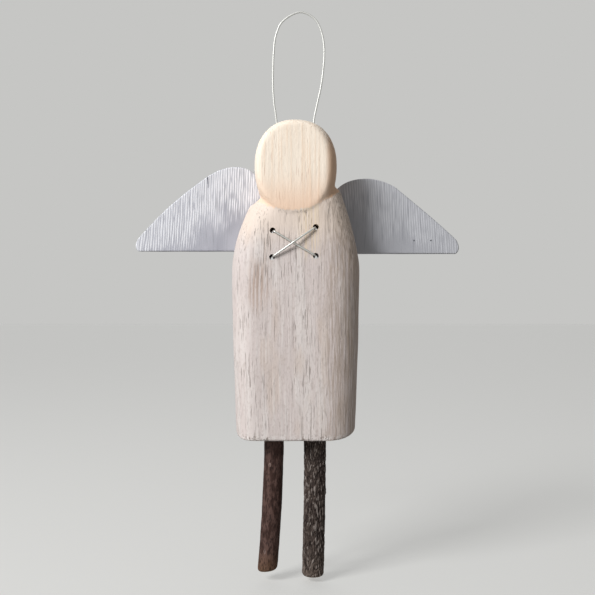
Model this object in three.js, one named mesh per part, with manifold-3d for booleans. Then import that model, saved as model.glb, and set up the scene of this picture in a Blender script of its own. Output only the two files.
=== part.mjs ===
// A hanging angel ornament made of wood, twigs and wire.
// One carved block is the head and robe, two thin boards on its flat back are the wings, two twigs are the
// legs, a wire is laced crosswise through the chest, and a wire loop turns on a staple behind the head.
// Millimetres, +Z up, front towards -Y. The origin is the point where a hook holds the loop.

import * as THREE from "three";
import { mergeVertices } from "three/addons/utils/BufferGeometryUtils.js";
import Module from "manifold-3d";

// Clearances
const FIT_GAP = 0.3; // between a piece and the hole or face that holds it
const GLUE_LINE = 0.2; // film of glue between a wing and the block
const EYE_PLAY = 0.35; // between the loop's eyes and the staple that they turn on
const STRAND_GAP = 0.5; // between two strands of the chest wire that cross or twist

// Carved block, with heights measured up from the hem
const BLOCK_THICKNESS = 25;
const HEM_WIDTH = 52;
const ROBE_WIDTH = 55.6;
const ROBE_WIDEST_AT = 62;
const CHEST_WIDTH = 53.8;
const CHEST_AT = 82;
const SHOULDER_WIDTH = 42;
const SHOULDER_AT = 101.5;
const SHOULDER_SLANT = 4; // the figure's left shoulder, at +X, sits higher by this much
const NECK_WIDTH = 33.4;
const NECK_AT = 107;
const NECK_SLANT = 6.4;
const ROBE_ROUND_INSET = 12; // width of the rounding along the robe's front edges
const ROBE_ROUND_DEPTH = 10;
const ROBE_SET_BACK = 0.6; // the robe's front lies this far behind the face
const BACK_ROUND = 1.8; // rounding along the back edges

// Head, part of the same block
const HEAD_WIDTH = 35.6;
const HEAD_HEIGHT = 41.4;
const CHIN_DROP = 10; // the head's outline ends this far below the neck
const HEAD_WIDEST_UP = 21.4; // height of the widest place over the outline's lowest point
const HEAD_SQUARENESS = 2.3; // exponent of the outline, where 2 is an ellipse
const HEAD_ROUND_INSET = 4.6;
const HEAD_ROUND_DEPTH = 7;

// Wings
const WING_THICKNESS = 3;
const WING_EDGE_ROUND = 0.5;
const WING_INNER_END = 14.5; // distance of a wing's hidden end from the middle of the back
const LEFT_WING = {
  reach: 72.9,
  hemAt: 82.4,
  noseHeight: 6,
  browX: 40.3,
  browAt: 116.2,
  edgeBulge: 1.9,
  peakX: 27,
  peakAt: 120.7,
  innerAt: 108,
};
const RIGHT_WING = {
  reach: 74.4,
  hemAt: 81.3,
  noseHeight: 6.5,
  browX: 45,
  browAt: 111.6,
  edgeBulge: 0.5,
  peakX: 32,
  peakAt: 115.4,
  innerAt: 101,
};

// Brads that hold each wing, given by their distance from the middle and their height over the hem
const BRAD_DIAMETER = 1.2;
const BRAD_LENGTH = 12;
const BRAD_HEAD_DIAMETER = 2.4;
const BRAD_HEAD_THICKNESS = 0.8;
const BRAD_POINT = 1.5;
const BRAD_SET = 0.2; // how far the head is punched below the wing's back
const LOWER_BRAD_X = 21;
const LOWER_BRAD_AT = 87;
const UPPER_BRAD_X = 18;
const UPPER_BRAD_AT = 96.5;
const BRAD_PLACES = [
  { name: "lower", x: LOWER_BRAD_X, at: LOWER_BRAD_AT },
  { name: "upper", x: UPPER_BRAD_X, at: UPPER_BRAD_AT },
];

// Twig legs, each with a whittled tenon in a socket drilled up into the hem
const TENON_DIAMETER = 6.2;
const TENON_LENGTH = 16;
const TENON_CHAMFER = 0.8;
const TWIG_END_ROUND = 1.6;
const LEFT_LEG = { x: -9.6, lean: 2.9, bow: 0.55, topDiameter: 8.6, footDiameter: 8.6, length: 58 };
const RIGHT_LEG = { x: 8.5, lean: 0.95, bow: 0.2, topDiameter: 9.6, footDiameter: 9.4, length: 60.5 };

// Chest wire and the four holes that it is laced through
const CHEST_WIRE_DIAMETER = 0.9;
const LACE_HOLE_DIAMETER = 2.2;
const LACE_BEND = 1; // bend radius where the wire turns into a hole
const LACE_UPPER_LEFT = { x: -9.9, at: 90.2 };
const LACE_UPPER_RIGHT = { x: 8.6, at: 91.7 };
const LACE_LOWER_LEFT = { x: -10.1, at: 78.8 };
const LACE_LOWER_RIGHT = { x: 8.6, at: 79.3 };
const TWIST_TURNS = 2.5;
const TWIST_LENGTH = 12;
const TWIST_DROP = 3.5; // how far below the lower holes the twist starts

// Hanger: a wire loop with an eye at each foot, turning on the bar of a staple
const LOOP_WIRE_DIAMETER = 0.9;
const STAPLE_WIRE_DIAMETER = 0.9;
const STAPLE_DROP = 12.4; // the bar's depth below the top of the head
const STAPLE_WIDTH = 19.2;
const STAPLE_BITE = 9; // how far its prongs enter the head
const STAPLE_BEND = 1.1;
const EYE_TURNS = 1.25;
const EYE_PITCH = 1.5;
// The loop's route from foot to foot, as sideways distance and height over the staple's bar
const LOOP_ROUTE = [
  [-7.7, 0],
  [-8.8, 15.5],
  [-9.8, 23],
  [-10.4, 32],
  [-10.1, 46],
  [-8.9, 55],
  [-5.6, 61.2],
  [1.9, 65],
  [8.6, 61.9],
  [11.9, 55],
  [12.9, 46],
  [11.7, 33],
  [9.4, 22],
  [8.1, 15],
  [7.2, 0],
];

// Facets
const OUTLINE_STEPS = 56;
const ROUND_STEPS = 5;
const HOLE_SIDES = 16;
const TWIG_SIDES = 22;
const TWIG_RINGS = 9;
const WIRE_SIDES = 8;
const BEND_STEPS = 4;
const TWIST_STEPS = 12; // a turn
const LOOP_STEPS = 44;
const CUT_MARGIN = 2; // how far a cutting tool stands out of what it cuts

// Finishes
const BARE_WOOD = { color: 0xe9d7c0, roughness: 0.75, metalness: 0 };
const WASHED_WOOD = { color: 0xd6d7dd, roughness: 0.8, metalness: 0 };
const RED_BARK = { color: 0x5c453f, roughness: 0.85, metalness: 0 };
const GREY_BARK = { color: 0x4d4440, roughness: 0.95, metalness: 0 };
const WIRE_METAL = { color: 0xc9c9c6, roughness: 0.3, metalness: 1 };
const BRAD_METAL = { color: 0x9a9a96, roughness: 0.45, metalness: 1 };

// Planes and heights that several pieces share
const FACE_Y = -BLOCK_THICKNESS / 2;
const ROBE_Y = FACE_Y + ROBE_SET_BACK;
const BACK_Y = BLOCK_THICKNESS / 2;
const HEAD_BOTTOM = NECK_AT - CHIN_DROP;
const HEAD_TOP = HEAD_BOTTOM + HEAD_HEIGHT;
const HEAD_WIDEST_AT = HEAD_BOTTOM + HEAD_WIDEST_UP;
const WING_FRONT_Y = BACK_Y + GLUE_LINE;
const WING_BACK_Y = WING_FRONT_Y + WING_THICKNESS;
const EYE_RADIUS = (STAPLE_WIRE_DIAMETER + LOOP_WIRE_DIAMETER) / 2 + EYE_PLAY;
const BAR_Y = BACK_Y + FIT_GAP + LOOP_WIRE_DIAMETER / 2 + EYE_RADIUS;
const BAR_AT = HEAD_TOP - STAPLE_DROP;
const LOOP_Y = BAR_Y - EYE_RADIUS;
const LOOP_TOP = BAR_AT + Math.max(...LOOP_ROUTE.map(([, height]) => height));
const HANG_AT = LOOP_TOP - LOOP_WIRE_DIAMETER / 2;

const wasm = await Module();
wasm.setup();

/** A closed geometry as a solid that can be joined and cut. */
function solid(geometry) {
  const bare = geometry.clone();
  bare.deleteAttribute("normal");
  bare.deleteAttribute("uv");
  const merged = mergeVertices(bare, 1e-4);
  const vertProperties = new Float32Array(merged.attributes.position.array);
  const triVerts = new Uint32Array(merged.index.array);
  return new wasm.Manifold(new wasm.Mesh({ numProp: 3, vertProperties, triVerts }));
}

/** The geometry of a solid, with flat facets. */
function geometryOf(shape) {
  const { numProp, vertProperties, triVerts } = shape.getMesh();
  const positions = new Float32Array((vertProperties.length / numProp) * 3);
  for (let i = 0; i < positions.length / 3; i += 1) {
    positions.set(vertProperties.subarray(i * numProp, i * numProp + 3), i * 3);
  }
  const geometry = new THREE.BufferGeometry();
  geometry.setAttribute("position", new THREE.BufferAttribute(positions, 3));
  geometry.setIndex(new THREE.BufferAttribute(new Uint32Array(triVerts), 1));
  const faceted = geometry.toNonIndexed();
  faceted.computeVertexNormals();
  return faceted;
}

/** A named piece with its own material. */
function piece(name, geometry, finish) {
  const mesh = new THREE.Mesh(geometry, new THREE.MeshStandardMaterial(finish));
  mesh.name = name;
  return mesh;
}

/** A plate with the outline given in X and Z, and its two faces at frontY and backY. */
function plate(outline, frontY, backY, roundInset, roundDepth) {
  const geometry = new THREE.ExtrudeGeometry(outline, {
    depth: backY - frontY - 2 * roundDepth,
    bevelEnabled: true,
    bevelSize: roundInset,
    bevelOffset: -roundInset,
    bevelThickness: roundDepth,
    bevelSegments: ROUND_STEPS,
    curveSegments: ROUND_STEPS,
  });
  geometry.rotateX(Math.PI / 2);
  geometry.translate(0, backY - roundDepth, 0);
  return geometry;
}

/** A closed skin over rings of points that run from the front to the back, each end closed by a fan. */
function skin(rings) {
  const count = rings[0].length;
  const middle = (ring) => ring.reduce((sum, p) => sum.add(p), new THREE.Vector3()).divideScalar(count);
  const points = [...rings.flat(), middle(rings[0]), middle(rings[rings.length - 1])];
  const front = points.length - 2;
  const back = points.length - 1;
  const last = front - count;
  const faces = [];
  for (let i = 0; i < count; i += 1) {
    const next = (i + 1) % count;
    faces.push(front, i, next);
    for (let k = 0; k < rings.length - 1; k += 1) {
      const near = k * count;
      const far = near + count;
      faces.push(near + i, far + i, near + next);
      faces.push(near + next, far + i, far + next);
    }
    faces.push(back, last + next, last + i);
  }
  const geometry = new THREE.BufferGeometry().setFromPoints(points);
  geometry.setIndex(faces);
  return geometry;
}

/** A thick plate with its outline in X and Z, whose front edges are rounded more than its back edges. */
function carvedPlate(outline, frontY, backY, roundInset, roundDepth) {
  const box = new THREE.Box2().setFromPoints(outline);
  const centre = box.getCenter(new THREE.Vector2());
  const half = box.getSize(new THREE.Vector2()).multiplyScalar(0.5);
  const rings = [];
  const addRing = (inset, y) => {
    const drawIn = new THREE.Vector2(1 - inset / half.x, 1 - inset / half.y);
    const drawn = outline.map((point) => point.clone().sub(centre).multiply(drawIn).add(centre));
    rings.push(drawn.map((point) => new THREE.Vector3(point.x, y, point.y)));
  };
  for (let i = 0; i <= ROUND_STEPS; i += 1) {
    const angle = (Math.PI / 2) * (i / ROUND_STEPS);
    addRing(roundInset * (1 - Math.sin(angle)), frontY + roundDepth * (1 - Math.cos(angle)));
  }
  for (let i = ROUND_STEPS; i >= 0; i -= 1) {
    const angle = (Math.PI / 2) * (i / ROUND_STEPS);
    addRing(BACK_ROUND * (1 - Math.sin(angle)), backY - BACK_ROUND * (1 - Math.cos(angle)));
  }
  return solid(skin(rings));
}

/** A round bar along Y, as a drill leaves it. */
function drillAlongY(x, at, fromY, toY, diameter) {
  const radius = diameter / 2;
  const geometry = new THREE.CylinderGeometry(radius, radius, toY - fromY, HOLE_SIDES);
  geometry.translate(x, (fromY + toY) / 2, at);
  return solid(geometry);
}

/** A route through chosen points, whose rings stand square to the bisector at each point. */
class WireRoute extends THREE.Curve {
  constructor(points) {
    super();
    this.points = points;
  }

  getUtoTmapping(u) {
    return u;
  }

  getPoint(t, target = new THREE.Vector3()) {
    const place = t * (this.points.length - 1);
    const index = Math.min(Math.floor(place), this.points.length - 2);
    return target.lerpVectors(this.points[index], this.points[index + 1], place - index);
  }

  getTangent(t, target = new THREE.Vector3()) {
    const last = this.points.length - 1;
    const index = Math.round(t * last);
    const before = this.points[Math.max(index - 1, 0)];
    const here = this.points[index];
    const after = this.points[Math.min(index + 1, last)];
    const arriving = here.clone().sub(before).normalize();
    const leaving = after.clone().sub(here).normalize();
    return target.addVectors(arriving, leaving).normalize();
  }
}

/** A round wire along a list of points. */
function wire(points, diameter) {
  const corners = [];
  for (let i = 0; i < WIRE_SIDES; i += 1) {
    const angle = (2 * Math.PI * i) / WIRE_SIDES;
    corners.push(new THREE.Vector2(Math.cos(angle), Math.sin(angle)).multiplyScalar(diameter / 2));
  }
  return new THREE.ExtrudeGeometry(new THREE.Shape(corners), {
    steps: points.length - 1,
    bevelEnabled: false,
    extrudePath: new WireRoute(points),
  });
}

/** The corners of a route with each inner corner turned into an arc. */
function bend(corners, radius) {
  const route = [corners[0]];
  for (let i = 1; i < corners.length - 1; i += 1) {
    const corner = corners[i];
    const back = corners[i - 1].clone().sub(corner).normalize();
    const on = corners[i + 1].clone().sub(corner).normalize();
    const half = back.angleTo(on) / 2;
    const centre = back.clone().add(on).normalize().multiplyScalar(radius / Math.sin(half)).add(corner);
    const start = back.clone().multiplyScalar(radius / Math.tan(half)).add(corner).sub(centre);
    const end = on.clone().multiplyScalar(radius / Math.tan(half)).add(corner).sub(centre);
    const sweep = start.angleTo(end);
    for (let k = 0; k <= BEND_STEPS; k += 1) {
      const share = k / BEND_STEPS;
      const spoke = start.clone().multiplyScalar(Math.sin((1 - share) * sweep));
      spoke.addScaledVector(end, Math.sin(share * sweep)).divideScalar(Math.sin(sweep));
      route.push(spoke.add(centre));
    }
  }
  route.push(corners[corners.length - 1]);
  return route;
}

/** The least clear space between a wire's stretches, leaving out what lies close by along the wire. */
function leastGap(points, diameter) {
  const spacing = diameter / 3;
  const neighbours = 12;
  const places = [];
  for (let i = 0; i < points.length - 1; i += 1) {
    const count = Math.max(1, Math.round(points[i].distanceTo(points[i + 1]) / spacing));
    for (let k = 0; k < count; k += 1) places.push(points[i].clone().lerp(points[i + 1], k / count));
  }
  let least = Infinity;
  for (let i = 0; i < places.length; i += 1) {
    for (let j = i + neighbours; j < places.length; j += 1) {
      least = Math.min(least, places[i].distanceTo(places[j]));
    }
  }
  return least - diameter;
}

/** The robe's outline, running on below the hem so that the hem itself is a plain saw cut. */
function robeOutline() {
  const side = (sign) => [
    new THREE.Vector2((sign * HEM_WIDTH) / 2, 0),
    new THREE.Vector2((sign * ROBE_WIDTH) / 2, ROBE_WIDEST_AT),
    new THREE.Vector2((sign * CHEST_WIDTH) / 2, CHEST_AT),
    new THREE.Vector2((sign * SHOULDER_WIDTH) / 2, SHOULDER_AT + (sign * SHOULDER_SLANT) / 2),
    new THREE.Vector2((sign * NECK_WIDTH) / 2, NECK_AT + (sign * NECK_SLANT) / 2),
  ];
  const crown = new THREE.Vector2(0, HEAD_WIDEST_AT);
  const route = new THREE.SplineCurve([...side(1), crown, ...side(-1).reverse()]);
  const below = -ROBE_ROUND_INSET - CUT_MARGIN;
  return [
    new THREE.Vector2(-HEM_WIDTH / 2, below),
    new THREE.Vector2(HEM_WIDTH / 2, below),
    ...route.getSpacedPoints(OUTLINE_STEPS),
  ];
}

/** The head's outline, a rounded oval with a longer chin. */
function headOutline() {
  const points = [];
  for (let i = 0; i < OUTLINE_STEPS; i += 1) {
    const angle = (2 * Math.PI * i) / OUTLINE_STEPS;
    const round = (value) => Math.sign(value) * Math.abs(value) ** (2 / HEAD_SQUARENESS);
    const reach = angle < Math.PI ? HEAD_TOP - HEAD_WIDEST_AT : HEAD_WIDEST_AT - HEAD_BOTTOM;
    const x = (HEAD_WIDTH / 2) * round(Math.cos(angle));
    points.push(new THREE.Vector2(x, HEAD_WIDEST_AT + reach * round(Math.sin(angle))));
  }
  return points;
}

/** A wing's outline, with sign -1 for the wing at -X and 1 for the one at +X. */
function wingOutline(wing, sign) {
  const shape = new THREE.Shape();
  const noseAt = wing.hemAt + wing.noseHeight;
  const noseX = wing.reach - wing.noseHeight / 4;
  const edgeX = (noseX + wing.browX) / 2 + wing.edgeBulge;
  const edgeAt = (noseAt + wing.browAt) / 2 + wing.edgeBulge;
  shape.moveTo(sign * WING_INNER_END, wing.hemAt);
  shape.lineTo(sign * (wing.reach - wing.noseHeight / 4), wing.hemAt);
  shape.quadraticCurveTo(sign * (wing.reach + 1), wing.hemAt + wing.noseHeight / 3, sign * noseX, noseAt);
  shape.quadraticCurveTo(sign * edgeX, edgeAt, sign * wing.browX, wing.browAt);
  shape.quadraticCurveTo(sign * (wing.browX + wing.peakX) / 2, wing.peakAt, sign * wing.peakX, wing.peakAt);
  shape.quadraticCurveTo(sign * (WING_INNER_END + 2), wing.peakAt, sign * WING_INNER_END, wing.innerAt);
  return shape;
}

/** Moves a twig's own frame, with its shoulder at the origin, to its place under the hem. */
function placeLeg(leg) {
  const lean = THREE.MathUtils.degToRad(leg.lean);
  const seat = FIT_GAP + (leg.topDiameter / 2) * Math.tan(lean);
  const holder = new THREE.Group();
  holder.position.set(leg.x, 0, -seat);
  holder.rotation.y = lean;
  holder.updateMatrix();
  return holder;
}

/** The socket drilled for a leg's tenon, in the block's frame. */
function legSocket(leg) {
  const holder = placeLeg(leg);
  const radius = TENON_DIAMETER / 2 + FIT_GAP;
  const top = TENON_LENGTH + FIT_GAP;
  const geometry = new THREE.CylinderGeometry(radius, radius, top + CUT_MARGIN, HOLE_SIDES);
  geometry.rotateX(Math.PI / 2);
  geometry.translate(0, 0, (top - CUT_MARGIN) / 2);
  return solid(geometry.applyMatrix4(holder.matrix));
}

/** A twig with its tenon up, bowed a little sideways along its length. */
function twig(leg) {
  const foot = leg.footDiameter / 2;
  const top = leg.topDiameter / 2;
  const tenon = TENON_DIAMETER / 2;
  const profile = [new THREE.Vector2(0, -leg.length)];
  for (let i = 0; i < ROUND_STEPS; i += 1) {
    const angle = (Math.PI / 2) * (i / ROUND_STEPS);
    const inset = TWIG_END_ROUND * (1 - Math.sin(angle));
    profile.push(new THREE.Vector2(foot - inset, -leg.length + TWIG_END_ROUND * (1 - Math.cos(angle))));
  }
  for (let i = 0; i < TWIG_RINGS; i += 1) {
    const share = i / (TWIG_RINGS - 1);
    const at = THREE.MathUtils.lerp(-leg.length + TWIG_END_ROUND, 0, share);
    profile.push(new THREE.Vector2(THREE.MathUtils.lerp(foot, top, share), at));
  }
  profile.push(new THREE.Vector2(tenon, 0));
  profile.push(new THREE.Vector2(tenon, TENON_LENGTH - TENON_CHAMFER));
  profile.push(new THREE.Vector2(tenon - TENON_CHAMFER, TENON_LENGTH));
  profile.push(new THREE.Vector2(0, TENON_LENGTH));
  const geometry = new THREE.LatheGeometry(profile, TWIG_SIDES);
  geometry.rotateX(Math.PI / 2);
  const places = geometry.attributes.position;
  for (let i = 0; i < places.count; i += 1) {
    const share = Math.min(0, places.getZ(i)) / -leg.length;
    places.setX(i, places.getX(i) + leg.bow * 4 * share * (1 - share));
  }
  return geometryOf(solid(geometry));
}

/** A brad in its own frame, with the top of its head at the origin and its shank along -Y. */
function brad() {
  const shank = BRAD_DIAMETER / 2;
  const head = BRAD_HEAD_DIAMETER / 2;
  return new THREE.LatheGeometry(
    [
      new THREE.Vector2(0, -BRAD_LENGTH),
      new THREE.Vector2(shank, -BRAD_LENGTH + BRAD_POINT),
      new THREE.Vector2(shank, -BRAD_HEAD_THICKNESS),
      new THREE.Vector2(head, -BRAD_HEAD_THICKNESS),
      new THREE.Vector2(head, 0),
      new THREE.Vector2(0, 0),
    ],
    HOLE_SIDES,
  );
}

/** The hole for a brad through a wing: a clear way for the shank and a sink for the head. */
function bradHole(x, at) {
  const shank = BRAD_DIAMETER + 2 * FIT_GAP;
  const sink = BRAD_HEAD_DIAMETER + 2 * FIT_GAP;
  const floor = WING_BACK_Y - BRAD_SET - BRAD_HEAD_THICKNESS - FIT_GAP;
  const through = drillAlongY(x, at, WING_FRONT_Y - CUT_MARGIN, WING_BACK_Y + CUT_MARGIN, shank);
  return through.add(drillAlongY(x, at, floor, WING_BACK_Y + CUT_MARGIN, sink));
}

/** The carved block with every hole that is drilled in it. */
function carvedBlock() {
  const robe = carvedPlate(robeOutline(), ROBE_Y, BACK_Y, ROBE_ROUND_INSET, ROBE_ROUND_DEPTH);
  const head = carvedPlate(headOutline(), FACE_Y, BACK_Y, HEAD_ROUND_INSET, HEAD_ROUND_DEPTH);
  const offcut = new THREE.BoxGeometry(2 * ROBE_WIDTH, 2 * BLOCK_THICKNESS, 2 * ROBE_WIDTH);
  offcut.translate(0, 0, -ROBE_WIDTH);
  let block = robe.add(head).subtract(solid(offcut));
  for (const leg of [LEFT_LEG, RIGHT_LEG]) block = block.subtract(legSocket(leg));
  for (const hole of [LACE_UPPER_LEFT, LACE_UPPER_RIGHT, LACE_LOWER_LEFT, LACE_LOWER_RIGHT]) {
    const through = [FACE_Y - CUT_MARGIN, BACK_Y + CUT_MARGIN];
    block = block.subtract(drillAlongY(hole.x, hole.at, ...through, LACE_HOLE_DIAMETER));
  }
  const bradEnd = WING_BACK_Y - BRAD_SET - BRAD_LENGTH - FIT_GAP;
  const bradBore = BRAD_DIAMETER + 2 * FIT_GAP;
  const prongEnd = BACK_Y - STAPLE_BITE - FIT_GAP;
  const prongBore = STAPLE_WIRE_DIAMETER + 2 * FIT_GAP;
  for (const sign of [-1, 1]) {
    for (const { x, at } of BRAD_PLACES) {
      block = block.subtract(drillAlongY(sign * x, at, bradEnd, BACK_Y + CUT_MARGIN, bradBore));
    }
    const prongX = (sign * STAPLE_WIDTH) / 2;
    block = block.subtract(drillAlongY(prongX, BAR_AT, prongEnd, BACK_Y + CUT_MARGIN, prongBore));
  }
  return geometryOf(block);
}

/** A wing board with its brad holes. */
function wingBoard(wing, sign) {
  const outline = wingOutline(wing, sign);
  let board = solid(plate(outline, WING_FRONT_Y, WING_BACK_Y, WING_EDGE_ROUND, WING_EDGE_ROUND));
  for (const { x, at } of BRAD_PLACES) board = board.subtract(bradHole(sign * x, at));
  return geometryOf(board);
}

/** The chest wire's route: a cross in front, one strand and a twist behind. */
function chestWireRoute() {
  const radius = CHEST_WIRE_DIAMETER / 2;
  const strandBack = BACK_Y + FIT_GAP + radius;
  const strandFront = ROBE_Y - FIT_GAP - radius;
  const crossFront = strandFront - CHEST_WIRE_DIAMETER - STRAND_GAP;
  const twistRadius = radius + STRAND_GAP / 2;
  const twistY = BACK_Y + FIT_GAP + radius + twistRadius;
  const twistX = (LACE_LOWER_LEFT.x + LACE_LOWER_RIGHT.x) / 2;
  const twistTop = Math.min(LACE_LOWER_LEFT.at, LACE_LOWER_RIGHT.at) - TWIST_DROP;
  const inFront = ({ x, at }, y = strandFront) => new THREE.Vector3(x, y, at);
  const behind = ({ x, at }) => new THREE.Vector3(x, strandBack, at);
  const twist = (phase) => {
    const points = [];
    const steps = TWIST_TURNS * TWIST_STEPS;
    for (let i = 0; i <= steps; i += 1) {
      const angle = phase + (2 * Math.PI * i) / TWIST_STEPS;
      const x = twistX + twistRadius * Math.cos(angle);
      const y = twistY + twistRadius * Math.sin(angle);
      points.push(new THREE.Vector3(x, y, twistTop - (TWIST_LENGTH * i) / steps));
    }
    return points;
  };
  const leftTwist = twist(Math.PI).reverse();
  const rightTwist = twist(0);
  const over = new THREE.Vector3().addVectors(inFront(LACE_LOWER_LEFT), inFront(LACE_UPPER_RIGHT));
  over.multiplyScalar(0.5).setY(crossFront);
  const corners = [
    leftTwist.pop(),
    behind(LACE_LOWER_LEFT),
    inFront(LACE_LOWER_LEFT),
    over,
    inFront(LACE_UPPER_RIGHT),
    behind(LACE_UPPER_RIGHT),
    behind(LACE_UPPER_LEFT),
    inFront(LACE_UPPER_LEFT),
    inFront(LACE_LOWER_RIGHT),
    behind(LACE_LOWER_RIGHT),
    rightTwist.shift(),
  ];
  return [...leftTwist, ...bend(corners, LACE_BEND), ...rightTwist];
}

/** The hanger's route: an eye round the bar, the loop, and an eye at its other foot. */
function loopRoute() {
  const eye = (x, inward) => {
    const points = [];
    const steps = EYE_TURNS * TWIST_STEPS;
    for (let i = 1; i <= steps; i += 1) {
      const angle = Math.PI + (2 * Math.PI * i) / TWIST_STEPS;
      const slide = (inward * EYE_PITCH * i) / TWIST_STEPS;
      const y = BAR_Y + EYE_RADIUS * Math.cos(angle);
      points.push(new THREE.Vector3(x + slide, y, BAR_AT + EYE_RADIUS * Math.sin(angle)));
    }
    return points;
  };
  const places = LOOP_ROUTE.map(([x, height]) => new THREE.Vector3(x, LOOP_Y, BAR_AT + height));
  const arch = new THREE.CatmullRomCurve3(places).getSpacedPoints(LOOP_STEPS);
  const leftEye = eye(places[0].x, 1).reverse();
  const rightEye = eye(places[places.length - 1].x, -1);
  return [...leftEye, ...arch, ...rightEye];
}

/** The staple's route: prong, bar and prong. */
function stapleRoute() {
  const tip = BACK_Y - STAPLE_BITE;
  const half = STAPLE_WIDTH / 2;
  const corners = [
    new THREE.Vector3(-half, tip, BAR_AT),
    new THREE.Vector3(-half, BAR_Y, BAR_AT),
    new THREE.Vector3(half, BAR_Y, BAR_AT),
    new THREE.Vector3(half, tip, BAR_AT),
  ];
  return bend(corners, STAPLE_BEND);
}

/** The whole ornament, with the hem's middle at the origin until it is hung. */
function angel() {
  const figure = new THREE.Group();
  figure.add(piece("carved_block", carvedBlock(), BARE_WOOD));
  figure.add(piece("wing_left", wingBoard(LEFT_WING, -1), WASHED_WOOD));
  figure.add(piece("wing_right", wingBoard(RIGHT_WING, 1), WASHED_WOOD));

  for (const [side, leg, finish] of [["left", LEFT_LEG, RED_BARK], ["right", RIGHT_LEG, GREY_BARK]]) {
    const holder = placeLeg(leg);
    holder.add(piece("leg_" + side, twig(leg), finish));
    figure.add(holder);
  }

  for (const [side, sign] of [["left", -1], ["right", 1]]) {
    for (const { name, x, at } of BRAD_PLACES) {
      const nail = piece("wing_brad_" + side + "_" + name, brad(), BRAD_METAL);
      nail.position.set(sign * x, WING_BACK_Y - BRAD_SET, at);
      figure.add(nail);
    }
  }

  const lacing = chestWireRoute();
  figure.add(piece("chest_wire", wire(lacing, CHEST_WIRE_DIAMETER), WIRE_METAL));
  const loop = loopRoute();
  figure.add(piece("hanger_loop", wire(loop, LOOP_WIRE_DIAMETER), WIRE_METAL));
  figure.add(piece("hanger_staple", wire(stapleRoute(), STAPLE_WIRE_DIAMETER), WIRE_METAL));
  console.log("least gap in the chest wire:", leastGap(lacing, CHEST_WIRE_DIAMETER).toFixed(2), "mm");
  console.log("least gap in the hanger loop:", leastGap(loop, LOOP_WIRE_DIAMETER).toFixed(2), "mm");
  return figure;
}

const ornament = new THREE.Group();
const hung = angel();
hung.position.set(0, -LOOP_Y, -HANG_AT);
ornament.add(hung);

export default ornament;
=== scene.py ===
"""A hanging angel ornament of carved wood, board wings, twigs and wire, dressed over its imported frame."""

import logging
import math
from abc import ABC, abstractmethod
from dataclasses import dataclass, field
from enum import Enum
from functools import cache, partial
from typing import Callable, ClassVar, Sequence

import bmesh
import bpy
from mathutils import Matrix, Vector, noise


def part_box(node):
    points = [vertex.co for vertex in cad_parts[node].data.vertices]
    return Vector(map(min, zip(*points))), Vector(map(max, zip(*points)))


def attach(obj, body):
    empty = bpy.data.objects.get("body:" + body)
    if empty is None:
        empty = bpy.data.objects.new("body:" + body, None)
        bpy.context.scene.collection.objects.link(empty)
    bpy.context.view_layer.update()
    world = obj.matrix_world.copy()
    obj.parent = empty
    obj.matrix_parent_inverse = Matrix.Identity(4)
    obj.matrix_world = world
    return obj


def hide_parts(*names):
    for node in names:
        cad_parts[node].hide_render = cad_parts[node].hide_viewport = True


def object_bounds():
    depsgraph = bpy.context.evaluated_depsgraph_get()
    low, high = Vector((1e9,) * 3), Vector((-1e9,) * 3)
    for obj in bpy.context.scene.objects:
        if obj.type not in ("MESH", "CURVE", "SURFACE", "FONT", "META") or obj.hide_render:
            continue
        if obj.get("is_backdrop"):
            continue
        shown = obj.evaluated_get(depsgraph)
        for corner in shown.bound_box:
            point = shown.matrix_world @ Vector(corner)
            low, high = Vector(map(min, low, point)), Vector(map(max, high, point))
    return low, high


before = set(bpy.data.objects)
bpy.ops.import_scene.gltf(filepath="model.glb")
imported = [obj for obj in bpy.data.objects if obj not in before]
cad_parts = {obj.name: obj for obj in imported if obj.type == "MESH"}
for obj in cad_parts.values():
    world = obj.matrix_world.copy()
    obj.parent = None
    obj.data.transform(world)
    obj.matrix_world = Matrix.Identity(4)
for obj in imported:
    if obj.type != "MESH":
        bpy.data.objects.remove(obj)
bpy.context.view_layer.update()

Point = Sequence[float]
Ring = list[Vector]
Piece = bpy.types.Object
Pieces = dict[str, Piece]
Pattern = bpy.types.Node | bpy.types.NodeSocket
Band = tuple[Pattern, float, float]

# Sizes that several pieces share, in millimetres from the middle of the hem
MM = 0.001
BLOCK_LOW, BLOCK_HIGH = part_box("carved_block")
HEM_MIDDLE = Vector((0, (BLOCK_LOW.y + BLOCK_HIGH.y) / 2, BLOCK_LOW.z))
BLOCK_FRONT = -12.5
BLOCK_BACK = 12.5
ROBE_SET_BACK = 0.6
WING_FRONT = 12.7
WING_BACK = 15.7
FIT_GAP = 0.3
WIRE_RADIUS = 0.45
BAR_AT = 126
BAR_Y = 14.5
BRAD_PLACES: dict[str, Point] = {"lower": (21, 87), "upper": (18, 96.5)}

# How tools run past the wood, how surfaces face, and how finely round things are made
DRILL_RUN = 3
CUTTER_RUN = 1
FACING_BACK = (0.3, 0.9)
FACE_ON = (0.2, 0.8)
FULL_TURN = 2 * math.pi
ROUND_SIDES = 32
WIRE_ROUNDING = 5
SMOOTHING = 0.5
KEY_DIGITS = 6
WELD = 1e-6
THROUGH = math.inf
FAR = 1e6

# Settings that several nodes share
FROM_MIDDLE = {"vector_type": "TEXTURE"}
SOFT_EDGES = {"interpolation_type": "SMOOTHSTEP"}
COLOURS = {"data_type": "RGBA"}
RELIEF = "relief"

log = logging.getLogger("angel")


class Body(Enum):
    """The rigid bodies that pieces ride on."""

    HANGER = "hanger"
    ANGEL = "angel"


class Slot(Enum):
    """The record's material slots."""

    CARVED_WOOD = "carved_wood"
    WASHED_WOOD = "washed_wood"
    RED_BARK = "red_bark"
    GREY_BARK = "grey_bark"
    SILVER_WIRE = "silver_wire"
    BRAD_STEEL = "brad_steel"


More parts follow.
